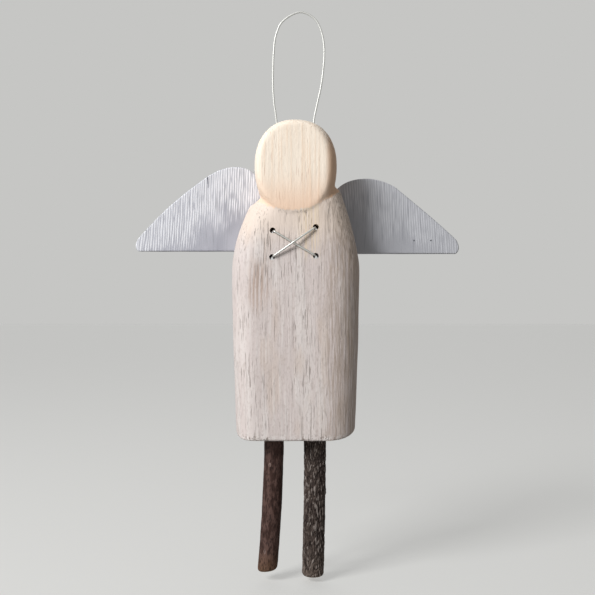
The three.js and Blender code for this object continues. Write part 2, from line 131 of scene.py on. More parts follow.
class Side(Enum):
    """A side of the figure, as seen from the front."""

    LEFT = -1
    RIGHT = 1

    @property
    def word(self) -> str:
        """The side in the names of pieces."""
        return self.name.lower()


# Places and curves


def place(x: float, y: float, z: float) -> Vector:
    """Turns millimetres from the hem's middle into metres in the frame."""
    return HEM_MIDDLE + Vector((x, y, z)) * MM


def millimetres(point: Vector) -> Vector:
    """Gives a place of the frame in millimetres from the hem's middle."""
    return (point - HEM_MIDDLE) / MM


def clamp(value: float) -> float:
    """Keeps a value between 0 and 1."""
    return min(1.0, max(0.0, value))


def smoothstep(low: float, high: float, value: float) -> float:
    """Rises smoothly from 0 at low to 1 at high."""
    share = clamp((value - low) / (high - low))
    return share * share * (3 - 2 * share)


def off_back(normal: Vector) -> float:
    """Gives 1 on the front and sides of a piece, and 0 on its flat back."""
    return 1 - smoothstep(*FACING_BACK, normal.y)


@dataclass(frozen=True)
class Waves:
    """Smooth noise with waves of a size in millimetres, and a shift that tells patterns apart."""

    width: float
    depth: float
    height: float
    shift: float = 0.0

    def at(self, point: Vector) -> float:
        """Gives the noise at a place in millimetres, from -1 to 1."""
        across, deep, up = point.x / self.width, point.y / self.depth, point.z / self.height
        return noise.noise(Vector((across, deep + self.shift, up)))


def spline(points: Sequence[Point], steps: int) -> list[Vector]:
    """Runs a smooth curve through chosen points.

    Args:
        points: Points in two or three dimensions.
        steps: Number of steps in each stretch between two points.

    Returns:
        The points of the curve, ends included.
    """
    knots = [Vector(p) for p in points]
    knots = [2 * knots[0] - knots[1], *knots, 2 * knots[-1] - knots[-2]]
    curve = []
    for a, b, c, d in zip(knots, knots[1:], knots[2:], knots[3:]):
        for i in range(steps):
            t = i / steps
            bent = (2 * a - 5 * b + 4 * c - d) * t * t + (3 * b - a - 3 * c + d) * t**3
            curve.append(b + 0.5 * ((c - a) * t + bent))
    curve.append(knots[-2])
    return curve


def even(points: Sequence[Vector], count: int) -> list[Vector]:
    """Spreads points evenly along a polyline.

    Args:
        points: Corners of the polyline.
        count: Number of points wanted, ends included.

    Returns:
        The spread points.
    """
    lengths = [(b - a).length for a, b in zip(points, points[1:])]
    step = sum(lengths) / (count - 1)
    spread, index, passed = [], 0, 0.0
    for i in range(count - 1):
        while passed + lengths[index] < i * step and index < len(lengths) - 1:
            passed += lengths[index]
            index += 1
        spread.append(points[index].lerp(points[index + 1], (i * step - passed) / lengths[index]))
    spread.append(points[-1])
    return spread


def bend(corners: Sequence[Vector], radius: float, steps: int = 8) -> list[Vector]:
    """Turns each inner corner of a route into an arc.

    Args:
        corners: Corners of the route.
        radius: Radius of every arc.
        steps: Steps in an arc.

    Returns:
        The bent route.
    """
    route = [corners[0]]
    for before, corner, after in zip(corners, corners[1:], corners[2:]):
        back = (before - corner).normalized()
        on = (after - corner).normalized()
        half = back.angle(on) / 2
        centre = corner + (back + on).normalized() * (radius / math.sin(half))
        start = corner + back * (radius / math.tan(half)) - centre
        end = corner + on * (radius / math.tan(half)) - centre
        route += [centre + start.slerp(end, k / steps) * radius for k in range(steps + 1)]
    route.append(corners[-1])
    return route


# Bench work


def only(piece: Piece) -> Piece:
    """Selects one object and makes it active.

    Args:
        piece: The object.

    Returns:
        The same object.
    """
    bpy.ops.object.select_all(action="DESELECT")
    piece.select_set(True)
    bpy.context.view_layer.objects.active = piece
    return piece


def named(name: str) -> Piece:
    """Names the active object and its data.

    Args:
        name: The new name.

    Returns:
        The object.
    """
    piece = bpy.context.object
    piece.name = name
    piece.data.name = name
    return piece


def added(name: str, operator: Callable[..., object], **settings: object) -> Piece:
    """Adds a primitive, with nothing else selected, and names it.

    Args:
        name: Name of the new object.
        operator: The operator that adds it.
        settings: The operator's settings.

    Returns:
        The new object.
    """
    bpy.ops.object.select_all(action="DESELECT")
    operator(**settings)
    return named(name)


def start_editing(piece: Piece) -> None:
    """Opens a piece in edit mode, with all of it selected.

    Args:
        piece: The piece to work on.
    """
    only(piece)
    bpy.ops.object.mode_set(mode="EDIT")
    bpy.ops.mesh.select_all(action="SELECT")


def end_editing() -> None:
    """Turns the faces of the piece in edit mode outwards and leaves that mode."""
    bpy.ops.mesh.select_all(action="SELECT")
    bpy.ops.mesh.normals_make_consistent(inside=False)
    bpy.ops.object.mode_set(mode="OBJECT")


def apply_modifier(piece: Piece, kind: str, **settings: object) -> None:
    """Adds a modifier to a piece, sets it and applies it.

    Args:
        piece: The piece that it shapes.
        kind: The modifier's type.
        settings: The modifier's settings.
    """
    only(piece)
    modifier = piece.modifiers.new(kind.lower(), kind)
    for name, value in settings.items():
        setattr(modifier, name, value)
    bpy.ops.object.modifier_apply(modifier=modifier.name)


def even_out(piece: Piece, voxel: float, rounds: int) -> None:
    """Gives a piece small even faces and rubs its edges soft.

    Args:
        piece: The piece to remesh.
        voxel: Size of a face, in millimetres.
        rounds: How often it is smoothed.
    """
    apply_modifier(piece, "REMESH", mode="VOXEL", voxel_size=voxel * MM)
    apply_modifier(piece, "SMOOTH", factor=SMOOTHING, iterations=rounds)


def loft(name: str, rings: Sequence[Ring]) -> Piece:
    """Adds a filled circle, puts it on the first ring and extrudes it from ring to ring.

    Args:
        name: Name of the new object.
        rings: Rings with the same number of points, in metres.

    Returns:
        A closed mesh with its faces outwards.
    """

    def key(point: Vector) -> tuple[float, ...]:
        """Tells the points of one ring apart."""
        return tuple(round(c, KEY_DIGITS) for c in point)

    piece = added(name, bpy.ops.mesh.primitive_circle_add, vertices=len(rings[0]), fill_type="NGON")
    for vertex, point in zip(piece.data.vertices, rings[0]):
        vertex.co = point
    start_editing(piece)
    for before, ring in zip(rings, rings[1:]):
        bpy.ops.mesh.extrude_region_move()
        shape = bmesh.from_edit_mesh(piece.data)
        target = {key(p): q for p, q in zip(before, ring)}
        for vertex in (v for v in shape.verts if v.select):
            vertex.co = target[key(vertex.co)]
        bmesh.update_edit_mesh(piece.data)
    end_editing()
    return piece


def turned(name: str, start: Vector, along: Vector, profile: Sequence[Point]) -> Piece:
    """Turns a round solid about an axis.

    Args:
        name: Name of the new object.
        start: Where the axis starts, in millimetres from the hem's middle.
        along: Direction of the axis.
        profile: Radius and distance along the axis of each ring, in millimetres.

    Returns:
        A closed mesh.
    """
    turn = along.to_track_quat("Z", "Y")
    angles = [FULL_TURN * i / ROUND_SIDES for i in range(ROUND_SIDES)]
    rings = []
    for radius, distance in profile:
        rim = [Vector((radius * math.cos(a), radius * math.sin(a), distance)) for a in angles]
        rings.append([place(*(start + turn @ p)) for p in rim])
    return loft(name, rings)


@dataclass(frozen=True)
class Hole:
    """A round hole between two places in millimetres from the hem's middle."""

    start: Vector
    end: Vector
    radius: float

    def tool(self) -> Piece:
        """Gives a round bar to cut the hole with."""
        along = self.end - self.start
        return turned("drill", self.start, along, [(self.radius, 0), (self.radius, along.length)])


def cut(piece: Piece, tools: Sequence[Piece]) -> None:
    """Cuts tools that stand clear of each other out of a piece, and deletes them.

    Args:
        piece: The piece to cut.
        tools: Closed meshes where material goes.
    """
    joined = only(tools[0])
    for tool in tools:
        tool.select_set(True)
    bpy.ops.object.join()
    apply_modifier(piece, "BOOLEAN", operation="DIFFERENCE", solver="EXACT", object=joined)
    bpy.data.objects.remove(joined)


def sculpt(piece: Piece, relief: Callable[[Vector, Vector], tuple[float, float]]) -> None:
    """Moves each vertex along its normal and keeps how far it stands out for the finish.

    Args:
        piece: The mesh to shape.
        relief: Takes a vertex's place in millimetres and its normal, and gives the move in
            millimetres and a value from 0 to 1 for the attribute named relief.
    """
    mesh = piece.data
    moves = []
    for vertex in mesh.vertices:
        move, value = relief(millimetres(vertex.co), vertex.normal)
        moves.append((vertex.normal * (move * MM), value))
    kept = mesh.attributes.new(RELIEF, "FLOAT", "POINT")
    for vertex, item, (move, value) in zip(mesh.vertices, kept.data, moves):
        vertex.co += move
        item.value = value


def wire(name: str, route: Sequence[Vector]) -> Piece:
    """Makes a round wire with closed ends along a route.

    Args:
        name: Name of the new object.
        route: Points in millimetres from the hem's middle.

    Returns:
        The wire as a mesh.
    """
    curve = added(name, bpy.ops.curve.primitive_nurbs_path_add).data
    curve.splines.clear()
    run = curve.splines.new("POLY")
    run.points.add(len(route) - 1)
    for knot, point in zip(run.points, route):
        knot.co = (*place(*point), 1)
    curve.dimensions = "3D"
    curve.bevel_depth = WIRE_RADIUS * MM
    curve.bevel_resolution = WIRE_ROUNDING
    curve.use_fill_caps = True
    bpy.ops.object.convert(target="MESH")
    piece = bpy.context.object
    start_editing(piece)
    bpy.ops.mesh.remove_doubles(threshold=WELD)
    end_editing()
    return piece


# Finishes


def linear(hex_colour: str) -> tuple[float, float, float, float]:
    """Turns an sRGB hex colour into the linear values that shaders take.

    Args:
        hex_colour: The colour, as #RRGGBB.

    Returns:
        Linear red, green and blue, and full opacity.
    """
    channels = [int(hex_colour[i : i + 2], 16) / 255 for i in (1, 3, 5)]
    values = [c / 12.92 if c <= 0.04045 else ((c + 0.055) / 1.055) ** 2.4 for c in channels]
    return (*values, 1.0)


def feed(socket: bpy.types.NodeSocket, value: object) -> None:
    """Sets a socket to a value or links it.

    Args:
        socket: The input.
        value: A plain value, another socket, or a node, whose first output in use is linked.
    """
    if isinstance(value, bpy.types.Node):
        value = next(out for out in value.outputs if out.enabled)
    if isinstance(value, bpy.types.NodeSocket):
        socket.id_data.links.new(value, socket)
    else:
        socket.default_value = value


def add_node(
    tree: bpy.types.NodeTree, kind: str, settings: dict[str, object] | None = None, **inputs: object
) -> bpy.types.Node:
    """Adds a node, sets it and links it.

    Args:
        tree: The tree that gets the node.
        kind: The node's type name after ShaderNode.
        settings: The node's own settings.
        inputs: What feeds its sockets, by socket name or, as i0, i1 and so on, by number.

    Returns:
        The new node.
    """
    made = tree.nodes.new(f"ShaderNode{kind}")
    for name, value in (settings or {}).items():
        setattr(made, name, value)
    for name, value in inputs.items():
        feed(made.inputs[int(name[1:]) if name[1:].isdigit() else name.replace("_", " ")], value)
    return made


@dataclass(frozen=True)
class Grain:
    """Streaks along the wood: their width and length in millimetres, and octaves of noise."""

    width: float
    length: float
    detail: float = 3.0


@dataclass
class Recipe:
    """A material being mixed: its tree, its shader and places in millimetres from the hem's middle."""

    name: str
    material: bpy.types.Material = field(init=False)
    shader: bpy.types.Node = field(init=False)
    add: Callable[..., bpy.types.Node] = field(init=False)
    where: Pattern = field(init=False)

    def __post_init__(self) -> None:
        """Makes the empty material."""
        self.material = bpy.data.materials.new(self.name)
        self.material.use_nodes = True
        tree = self.material.node_tree
        self.shader = tree.nodes["Principled BSDF"]
        self.add = partial(add_node, tree)
        seen = self.add("TexCoord").outputs["Object"]
        self.where = self.add("Mapping", FROM_MIDDLE, Vector=seen, Location=HEM_MIDDLE, Scale=(MM, MM, MM))

    def streaks(self, grain: Grain) -> Pattern:
        """Gives noise that is drawn out up the piece.

        Args:
            grain: Size of the streaks.

        Returns:
            Values about 0.5.
        """
        size = (grain.width, grain.width, grain.length)
        stretched = self.add("Mapping", FROM_MIDDLE, Vector=self.where, Scale=size)
        return self.add("TexNoise", Vector=stretched, Scale=1.0, Detail=grain.detail)

    def oval(self, x: float, z: float, width: float, height: float) -> Pattern:
        """Gives the square of the distance from an oval's middle, which is 1 on its rim.

        Args:
            x: Middle of the oval across the piece.
            z: Middle of the oval up the piece.
            width: Half its width.
            height: Half its height.

        Returns:
            Values from 0 upwards, the same at any depth in the piece.
        """
        size = (width, FAR, height)
        apart = self.add("Mapping", FROM_MIDDLE, Vector=self.where, Location=(x, 0, z), Scale=size)
        return self.add("VectorMath", {"operation": "DOT_PRODUCT"}, i0=apart, i1=apart)

    def mask(self, share: float, *bands: Band) -> Pattern:
        """Gives where all of some bands hold.

        Args:
            share: The most that the mask gives.
            bands: Each a pattern, the value at which it begins and the value from which it is full.

        Returns:
            Values from 0 to the share.
        """
        held = share
        for pattern, begins, full in bands:
            ends = {"From_Min": begins, "From_Max": full, "To_Max": held}
            held = self.add("MapRange", SOFT_EDGES, Value=pattern, **ends)
        return held

    def coat(self, base: Pattern | Point, colour: str, share: float, *bands: Band) -> Pattern:
        """Lays a colour over another one.

        Args:
            base: What lies below.
            colour: The colour laid on.
            share: How much of it covers, at most.
            bands: Where it lies, as for a mask.

        Returns:
            The coated colour.
        """
        where = self.mask(share, *bands)
        return self.add("Mix", COLOURS, i0=where, i6=base, i7=linear(colour))

    def done(self, colour: Pattern, roughness: float, relief: Pattern, depth: float) -> bpy.types.Material:
        """Puts the colour and a bump on the shader.

        Args:
            colour: The surface colour.
            roughness: The shader's roughness.
            relief: Heights of 0 to 1.
            depth: Depth of the relief, in millimetres.

        Returns:
            The finished material.
        """
        bump = self.add("Bump", Strength=1.0, Distance=depth * MM, Height=relief)
        feed(self.shader.inputs["Base Color"], colour)
        feed(self.shader.inputs["Roughness"], roughness)
        feed(self.shader.inputs["Normal"], bump)
        return self.material


@dataclass(frozen=True)
class CarvedFinish:
    """Sanded pine: bare and warm on the head, thinly limewashed on the robe.

    The wash is chalky and dull. Grain that it doesn't fill shows as dark dashes. The right sides of the
    head and robe are painted darker and browner, as painted shade. Real grain is finer than the picture
    shows, so its lines are drawn as coarse as they need to be to show.
    """

    bare: str = "#FEF0DF"
    bare_streak: str = "#F0D0B2"
    bare_dash: str = "#CF9D80"
    chin: str = "#F3CDB0"
    # Painted shade for the head's right rim
    bare_side: str = "#D6AE8C"
    wash: str = "#D8CCC8"
    wash_pale: str = "#E9E2DE"
    wash_warm: str = "#D5C3B6"
    wash_thin: str = "#B5A79E"
    chest: str = "#F2E0D0"
    bib: str = "#E9D3B3"
    dash: str = "#75665D"
    rubbed: str = "#AC8E7A"
    # Painted shade for the robe's right side and its rounded right edge
    side: str = "#A18D7B"
    fine: Grain = Grain(0.8, 30)
    broad: Grain = Grain(5, 60, 2.0)
    mottle: Grain = Grain(0.9, 1.8)
    dashes: Grain = Grain(0.38, 8.5, 1.0)
    lines: Grain = Grain(0.4, 20, 1.0)
    chips: Grain = Grain(0.9, 1.1)
    bare_patches: Grain = Grain(7, 12, 2.0)
    warm_patches: Grain = Grain(7, 22, 2.0)
    worn_streaks: Grain = Grain(0.5, 10)
    hem_flecks: Grain = Grain(1.6, 1.6)
    chin_heights: Point = (118, 99)
    chest_heights: Point = (80, 95)
    bib_heights: Point = (74, 84)
    hem_pale_heights: Point = (3.5, 0.5)
    hem_chip_heights: Point = (4, 1)
    # Where the painted shade lies across the head's right rim and the robe's right side
    bare_side_x: Point = (12, 15.5)
    worn_side_x: Point = (7, 17)
    worn_edge_x: Point = (15, 27)
    rubbed_oval: Point = (-16, 66, 5.5, 13)
    bib_oval: Point = (6, 84, 6, FAR)
    neckline: float = 97.5
    neckline_oval: Point = (-2.0, 0, 7.16, FAR)
    neckline_rags: Grain = Grain(1.1, 3.0)
    neckline_rag: float = 3.0
    neckline_blur: float = 0.4
    roughness: float = 0.72
    grain_depth: float = 0.12

    def mix(self) -> bpy.types.Material:
        """Mixes the material: bare wood over the neckline and wash under it.

        Returns:
            The material.
        """
        r = Recipe("sanded_pine_with_limewash")
        axes = r.add("SeparateXYZ", Vector=r.where)
        x, z = axes.outputs["X"], axes.outputs["Z"]
        fine, broad, mottle = r.streaks(self.fine), r.streaks(self.broad), r.streaks(self.mottle)
        dashes = (r.streaks(self.dashes), 0.64, 0.71)
        lines = (r.streaks(self.lines), 0.61, 0.72)
        chips = (r.streaks(self.chips), 0.52, 0.62)
        dashed_parts = (broad, 0.36, 0.6)

        # Bare head
        bare = r.coat(linear(self.bare), self.bare_streak, 0.45, (fine, 0.45, 0.75))
        bare = r.coat(bare, self.bare_dash, 0.42, dashes, (r.streaks(self.bare_patches), 0.42, 0.62))
        bare = r.coat(bare, self.chin, 0.75, (z, *self.chin_heights))
        # Painted shade: the head's right rim is painted a darker, warmer brown
        bare = r.coat(bare, self.bare_side, 0.85, (x, *self.bare_side_x))

        # Washed robe
        wash = r.coat(linear(self.wash), self.wash_pale, 0.6, (broad, 0.45, 0.7))
        wash = r.coat(wash, self.wash_warm, 0.45, (r.streaks(self.warm_patches), 0.52, 0.7))
        wash = r.coat(wash, self.wash_pale, 0.6, (fine, 0.52, 0.7))
        wash = r.coat(wash, self.wash_thin, 0.36, (mottle, 0.5, 0.72))
        wash = r.coat(wash, self.chest, 0.7, (z, *self.chest_heights))
        rubbed = r.oval(*self.rubbed_oval)
        wash = r.coat(wash, self.rubbed, 0.7, (rubbed, 1.2, 0), (fine, 0.35, 0.62))
        # Painted shade: the robe's right side and rounded right edge are painted darker and browner, broken
        # into streaks
        worn = r.streaks(self.worn_streaks)
        wash = r.coat(wash, self.side, 0.6, (x, *self.worn_side_x), (worn, 0.36, 0.64))
        wash = r.coat(wash, self.side, 0.8, (x, *self.worn_edge_x), (fine, 0.3, 0.7))
        bib = r.oval(*self.bib_oval)
        wash = r.coat(wash, self.bib, 0.6, (z, *self.bib_heights), (bib, 1, 0.03), (fine, 0.38, 0.62))
        flecks = r.streaks(self.hem_flecks)
        wash = r.coat(wash, self.wash_pale, 1.0, (z, *self.hem_pale_heights), (flecks, 0.42, 0.6))
        wash = r.coat(wash, self.dash, 0.78, dashes, dashed_parts)
        wash = r.coat(wash, self.dash, 0.55, lines, dashed_parts)
        wash = r.coat(wash, self.dash, 0.73, (z, *self.hem_chip_heights), chips, dashed_parts)

        # Ragged neckline between them
        fallen = r.add("Math", {"operation": "SUBTRACT"}, i0=z, i1=r.oval(*self.neckline_oval))
        ragged = {"i0": r.streaks(self.neckline_rags), "i1": -self.neckline_rag, "i2": fallen}
        over = r.add("Math", {"operation": "MULTIPLY_ADD"}, **ragged)
        low, high = self.neckline - self.neckline_blur, self.neckline + self.neckline_blur
        colour = r.add("Mix", COLOURS, i0=r.mask(1.0, (over, low, high)), i6=wash, i7=bare)

        raised = r.add("Math", {"operation": "ADD"}, i0=fine, i1=mottle)
        relief = r.add("Math", {"operation": "SUBTRACT"}, i0=raised, i1=r.mask(0.5, dashes))
        return r.done(colour, self.roughness, relief, self.grain_depth)


@dataclass(frozen=True)
class WingFinish:
    """Weathered plywood under thin white paint: the raised grain's crests hold paint and painted highlight.
    """

    name: str
    smooth: str
    hollow: str
    paint: str
    crest: str
    speck: str = "#8E8F97"
    fine: Grain = Grain(0.7, 14)
    patches: Grain = Grain(9, 25)
    roughness: float = 0.66
    grain_depth: float = 0.08

    def mix(self) -> bpy.types.Material:
        """Mixes the material, with its pale crests where the board's own relief stands out.

        Returns:
            The material.
        """
        r = Recipe(self.name)
        relief = r.add("Attribute", {"attribute_name": RELIEF}).outputs["Fac"]
        fine = r.streaks(self.fine)
        colour = r.coat(linear(self.smooth), self.paint, 0.6, (r.streaks(self.patches), 0.35, 0.65))
        colour = r.coat(colour, self.hollow, 1.0, (relief, 0.36, 0.16))
        # Paint and painted highlight: the raised grain's crests are painted paler
        colour = r.coat(colour, self.crest, 0.95, (relief, 0.39, 0.72))
        colour = r.coat(colour, self.speck, 0.55, (fine, 0.54, 0.7))
        return r.done(colour, self.roughness, fine, self.grain_depth)


@dataclass(frozen=True)
class BarkFinish:
    """Dry twig bark: dull, blotched, darker in its cracks and paler on what stands out."""

    name: str
    crack: str
    base: str
    shade: str
    crest: str
    foot: str
    crest_from: float
    roughness: float
    crest_blur: float = 0.25
    fine: Grain = Grain(0.5, 1.6)
    blotches: Grain = Grain(1.8, 5, 4.0)
    foot_heights: Point = (-46, -60)
    gloss: float = 0.15
    grain_depth: float = 0.15

    def mix(self) -> bpy.types.Material:
        """Mixes the material, which is browner near the cut foot.

        Returns:
            The material.
        """
        r = Recipe(self.name)
        feed(r.shader.inputs["Specular IOR Level"], self.gloss)
        relief = r.add("Attribute", {"attribute_name": RELIEF}).outputs["Fac"]
        z = r.add("SeparateXYZ", Vector=r.where).outputs["Z"]
        fine = r.streaks(self.fine)
        colour = r.coat(linear(self.base), self.shade, 1.0, (r.streaks(self.blotches), 0.42, 0.6))
        colour = r.coat(colour, self.foot, 0.75, (z, *self.foot_heights))
        colour = r.coat(colour, self.crack, 0.9, (relief, 0.4, 0.1))
        full = self.crest_from + self.crest_blur
        colour = r.coat(colour, self.crest, 0.85, (relief, self.crest_from, full))
        colour = r.coat(colour, self.crack, 0.75, (fine, 0.48, 0.66))
        return r.done(colour, self.roughness, fine, self.grain_depth)


@dataclass(frozen=True)
class EndGrainFinish:
    """Cut end of a twig: dull pale wood with faint year rings about 0.9 mm apart."""

    name: str
    middle_x: float
    wood: str = "#B0946F"
    ring: str = "#8A6B4C"
    ring_scale: float = 0.35
    ring_waver: float = 2.0
    pores: Grain = Grain(0.4, 0.4)
    roughness: float = 0.8
    grain_depth: float = 0.1

    def mix(self) -> bpy.types.Material:
        """Mixes the material, with its rings about the twig's axis.

        Returns:
            The material.
        """
        r = Recipe(self.name)
        centred = r.add("Mapping", FROM_MIDDLE, Vector=r.where, Location=(self.middle_x, 0, 0))
        settings = {"wave_type": "RINGS", "rings_direction": "Z", "wave_profile": "SIN"}
        waver = self.ring_waver
        rings = r.add("TexWave", settings, Vector=centred, Scale=self.ring_scale, Distortion=waver)
        colour = r.coat(linear(self.wood), self.ring, 0.6, (rings.outputs["Fac"], 0.5, 1.0))
        return r.done(colour, self.roughness, r.streaks(self.pores), self.grain_depth)


@dataclass(frozen=True)
class MetalFinish:
    """Drawn steel: a metal with soft streaks of duller skin."""

    name: str
    metal: str
    roughness: float
    skin: str = "#8F8F8C"
    streak: Grain = Grain(0.5, 4)
    streak_depth: float = 0.02

    @cache
    def mix(self) -> bpy.types.Material:
        """Mixes the material once for all the pieces of this metal.

        Returns:
            The material.
        """
        r = Recipe(self.name)
        feed(r.shader.inputs["Metallic"], 1.0)
        streak = r.streaks(self.streak)
        colour = r.coat(linear(self.metal), self.skin, 0.4, (streak, 0.55, 0.8))
        return r.done(colour, self.roughness, streak, self.streak_depth)


# Drawn wire shines softly, a handled wire is a little smoother and greyer, and a brad is darker
BRIGHT_WIRE = MetalFinish("bright_drawn_wire", "#CECECB", 0.58)
LACING_WIRE = MetalFinish("handled_drawn_wire", "#C8C8C4", 0.48)
BRAD_STEEL = MetalFinish("plain_steel_brad", "#A2A29E", 0.42)


# Sub-assemblies


class SubAssembly(ABC):
    """Pieces that are built together, and then dressed and put in the place of their CAD nodes."""

    body: ClassVar[Body] = Body.ANGEL
    smooth_below: ClassVar[float] = math.radians(40)

    @abstractmethod
    def build(self) -> Pieces:
        """Builds the pieces and gives them by the CAD nodes that they stand for."""

    @abstractmethod
    def dress(self, pieces: Pieces) -> None:
        """Gives each piece its finish and its place."""

    def holes(self) -> list[Hole]:
        """Gives the holes that the pieces need in the block."""
        return []

    def put_in_place(self, node: str, piece: Piece, slot: Slot, *finishes: bpy.types.Material) -> None:
        """Shades a piece, gives it its finishes and puts it in the place of its CAD node.

        Args:
            node: The CAD node that the piece stands for.
            piece: The finished mesh.
            slot: The record's material slot; it is not used.
            finishes: Materials, the main one first.
        """
        only(piece)
        bpy.ops.object.shade_smooth_by_angle(angle=self.smooth_below)
        kept = [face.material_index for face in piece.data.polygons]
        piece.data.materials.clear()
        for finish in finishes:
            piece.data.materials.append(finish)
        piece.data.polygons.foreach_set("material_index", kept)
        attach(piece, self.body.value)
        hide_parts(node)


@dataclass(frozen=True)
class Rounding:
    """How far a face is drawn in on each side, and how deep its rounded edge is."""

    left: float
    right: float
    bottom: float
    top: float
    depth: float


@dataclass
class CarvedBlock(SubAssembly):
    """Head and robe, carved from one block, with heights over the hem in millimetres."""

    drilled: Sequence[Hole]
    hem_width: float = 52
    robe_width: float = 55.6
    robe_widest_at: float = 62
    chest_width: float = 53.8
    chest_at: float = 82
    shoulder_width: float = 42
    shoulder_at: float = 101.5
    shoulder_slant: float = 4
    neck_width: float = 33.4
    neck_at: float = 107
    neck_slant: float = 6.4
    robe_rounding: Rounding = Rounding(left=10, right=14, bottom=12, top=12, depth=10)
    back_rounding: Rounding = Rounding(left=1.8, right=1.8, bottom=1.8, top=1.8, depth=1.8)
    head_width: float = 35.6
    head_bottom: float = 97
    head_widest_at: float = 118.4
    head_top: float = 138.4
    head_squareness: float = 2.3
    head_rounding: Rounding = Rounding(left=3, right=4.8, bottom=1.6, top=2.6, depth=7)
    hem_corner_left: Point = (5.5, 3.2)
    hem_corner_right: Point = (12, 5)
    hem_fade: float = 3
    sawn_off: float = 2
    carving: Waves = Waves(9, 9, 16)
    carving_height: float = 0.17
    sanding: Waves = Waves(1.1, 1.1, 24)
    sanding_height: float = 0.05
    voxel: float = 0.62
    smooth_rounds: int = 6
    outline_points: int = 180
    curve_steps: int = 24
    round_steps: int = 8

    def robe_outline(self) -> list[Vector]:
        """Draws the robe's outline, which runs on below the hem.

        Returns:
            Points in x and z.
        """

        def side(sign: int) -> list[Point]:
            """Gives one side from the hem up to the neck."""
            return [
                (sign * self.hem_width / 2, 0),
                (sign * self.robe_width / 2, self.robe_widest_at),
                (sign * self.chest_width / 2, self.chest_at),
                (sign * self.shoulder_width / 2, self.shoulder_at + sign * self.shoulder_slant / 2),
                (sign * self.neck_width / 2, self.neck_at + sign * self.neck_slant / 2),
            ]

        curve = spline([*side(1), (0, self.head_widest_at), *reversed(side(-1))], self.curve_steps)
        below = -self.robe_rounding.right - self.sawn_off
        corners = [Vector((-self.hem_width / 2, below)), Vector((self.hem_width / 2, below))]
        return even([*corners, *curve, corners[0]], self.outline_points + 1)[:-1]

    def head_outline(self) -> list[Vector]:
        """Draws the head's outline, a rounded oval with a longer chin.

        Returns:
            Points in x and z.
        """
        outline = []
        power = 2 / self.head_squareness
        for i in range(self.outline_points):
            angle = FULL_TURN * i / self.outline_points
            across, up = math.cos(angle), math.sin(angle)
            end = self.head_top if up > 0 else self.head_bottom
            reach = abs(end - self.head_widest_at)
            x = self.head_width / 2 * math.copysign(abs(across) ** power, across)
            outline.append(Vector((x, self.head_widest_at + reach * math.copysign(abs(up) ** power, up))))
        return outline

    def rings(self, outline: Sequence[Vector], front: float, rounding: Rounding) -> list[Ring]:
        """Gives rings from front to back, drawn in where the edges are rounded.

        Args:
            outline: Points in x and z.
            front: Place of the front face.
            rounding: How far the front face is drawn in on each side.

        Returns:
            The rings, in metres.
        """
        low = Vector((min(p.x for p in outline), min(p.y for p in outline)))
        high = Vector((max(p.x for p in outline), max(p.y for p in outline)))
        centre, half = (low + high) / 2, (high - low) / 2

        def ring(angle: float, y: float, inset: Rounding) -> Ring:
            """Gives one ring of a rounded edge.

            Args:
                angle: Angle round the edge, from 0 on the face to a right angle on the side.
                y: Depth of the ring.
                inset: How far the face is drawn in on each side.

            Returns:
                The ring, in metres.
            """
            share = 1 - math.sin(angle)
            points = []
            for p in outline:
                across = inset.left if p.x < centre.x else inset.right
                up = inset.bottom if p.y < centre.y else inset.top
                x = centre.x + (p.x - centre.x) * (1 - across * share / half.x)
                points.append(place(x, y, centre.y + (p.y - centre.y) * (1 - up * share / half.y)))
            return points

        back = self.back_rounding
        angles = [math.pi / 2 * i / self.round_steps for i in range(self.round_steps + 1)]
        made = [ring(a, front + rounding.depth * (1 - math.cos(a)), rounding) for a in angles]
        made += [ring(a, BLOCK_BACK - back.depth * (1 - math.cos(a)), back) for a in reversed(angles)]
        return made

    def tool_marks(self, point: Vector, normal: Vector) -> tuple[float, float]:
        """Gives the slow waves that carving and sanding leave, and none on the flat back.

        Args:
            point: A place on the block, in millimetres.
            normal: The surface normal there.

        Returns:
            How far the surface moves, in millimetres, and its relief of 0 to 1.
        """
        ripple = self.sanding.at(point)
        height = self.carving_height * self.carving.at(point) + self.sanding_height * ripple
        return off_back(normal) * height, 0.5 + 0.5 * ripple

    def ease_hem(self, block: Piece) -> None:
        """Lifts the hem's two lower corners, the right one more, as a rasp leaves them.

        Args:
            block: The block, with a square hem.
        """
        for vertex in block.data.vertices:
            x, _, z = millimetres(vertex.co)
            width, height = self.hem_corner_right if x > 0 else self.hem_corner_left
            past = clamp(1 + (abs(x) - self.hem_width / 2) / width)
            lift = height * (1 - math.sqrt(1 - past * past))
            vertex.co.z += lift * smoothstep(self.hem_fade * height, 0, z) * MM

    def build(self) -> Pieces:
        """Carves the head and robe in one, saws the hem off, shapes the surface and drills it.

        Returns:
            The block by its CAD node.
        """
        robe = self.rings(self.robe_outline(), BLOCK_FRONT + ROBE_SET_BACK, self.robe_rounding)
        block = loft("carved_head_and_robe", robe)
        head = loft("head_start", self.rings(self.head_outline(), BLOCK_FRONT, self.head_rounding))
        apply_modifier(block, "BOOLEAN", operation="UNION", solver="EXACT", object=head)
        bpy.data.objects.remove(head)
        start_editing(block)
        bpy.ops.mesh.bisect(plane_co=place(0, 0, 0), plane_no=(0, 0, 1), use_fill=True, clear_inner=True)
        end_editing()
        even_out(block, self.voxel, self.smooth_rounds)
        self.ease_hem(block)
        sculpt(block, self.tool_marks)
        cut(block, [hole.tool() for hole in self.drilled])
        return {"carved_block": block}

    def dress(self, pieces: Pieces) -> None:
        """Gives the block its bare and washed wood."""
        for node, block in pieces.items():
            self.put_in_place(node, block, Slot.CARVED_WOOD, CarvedFinish().mix())


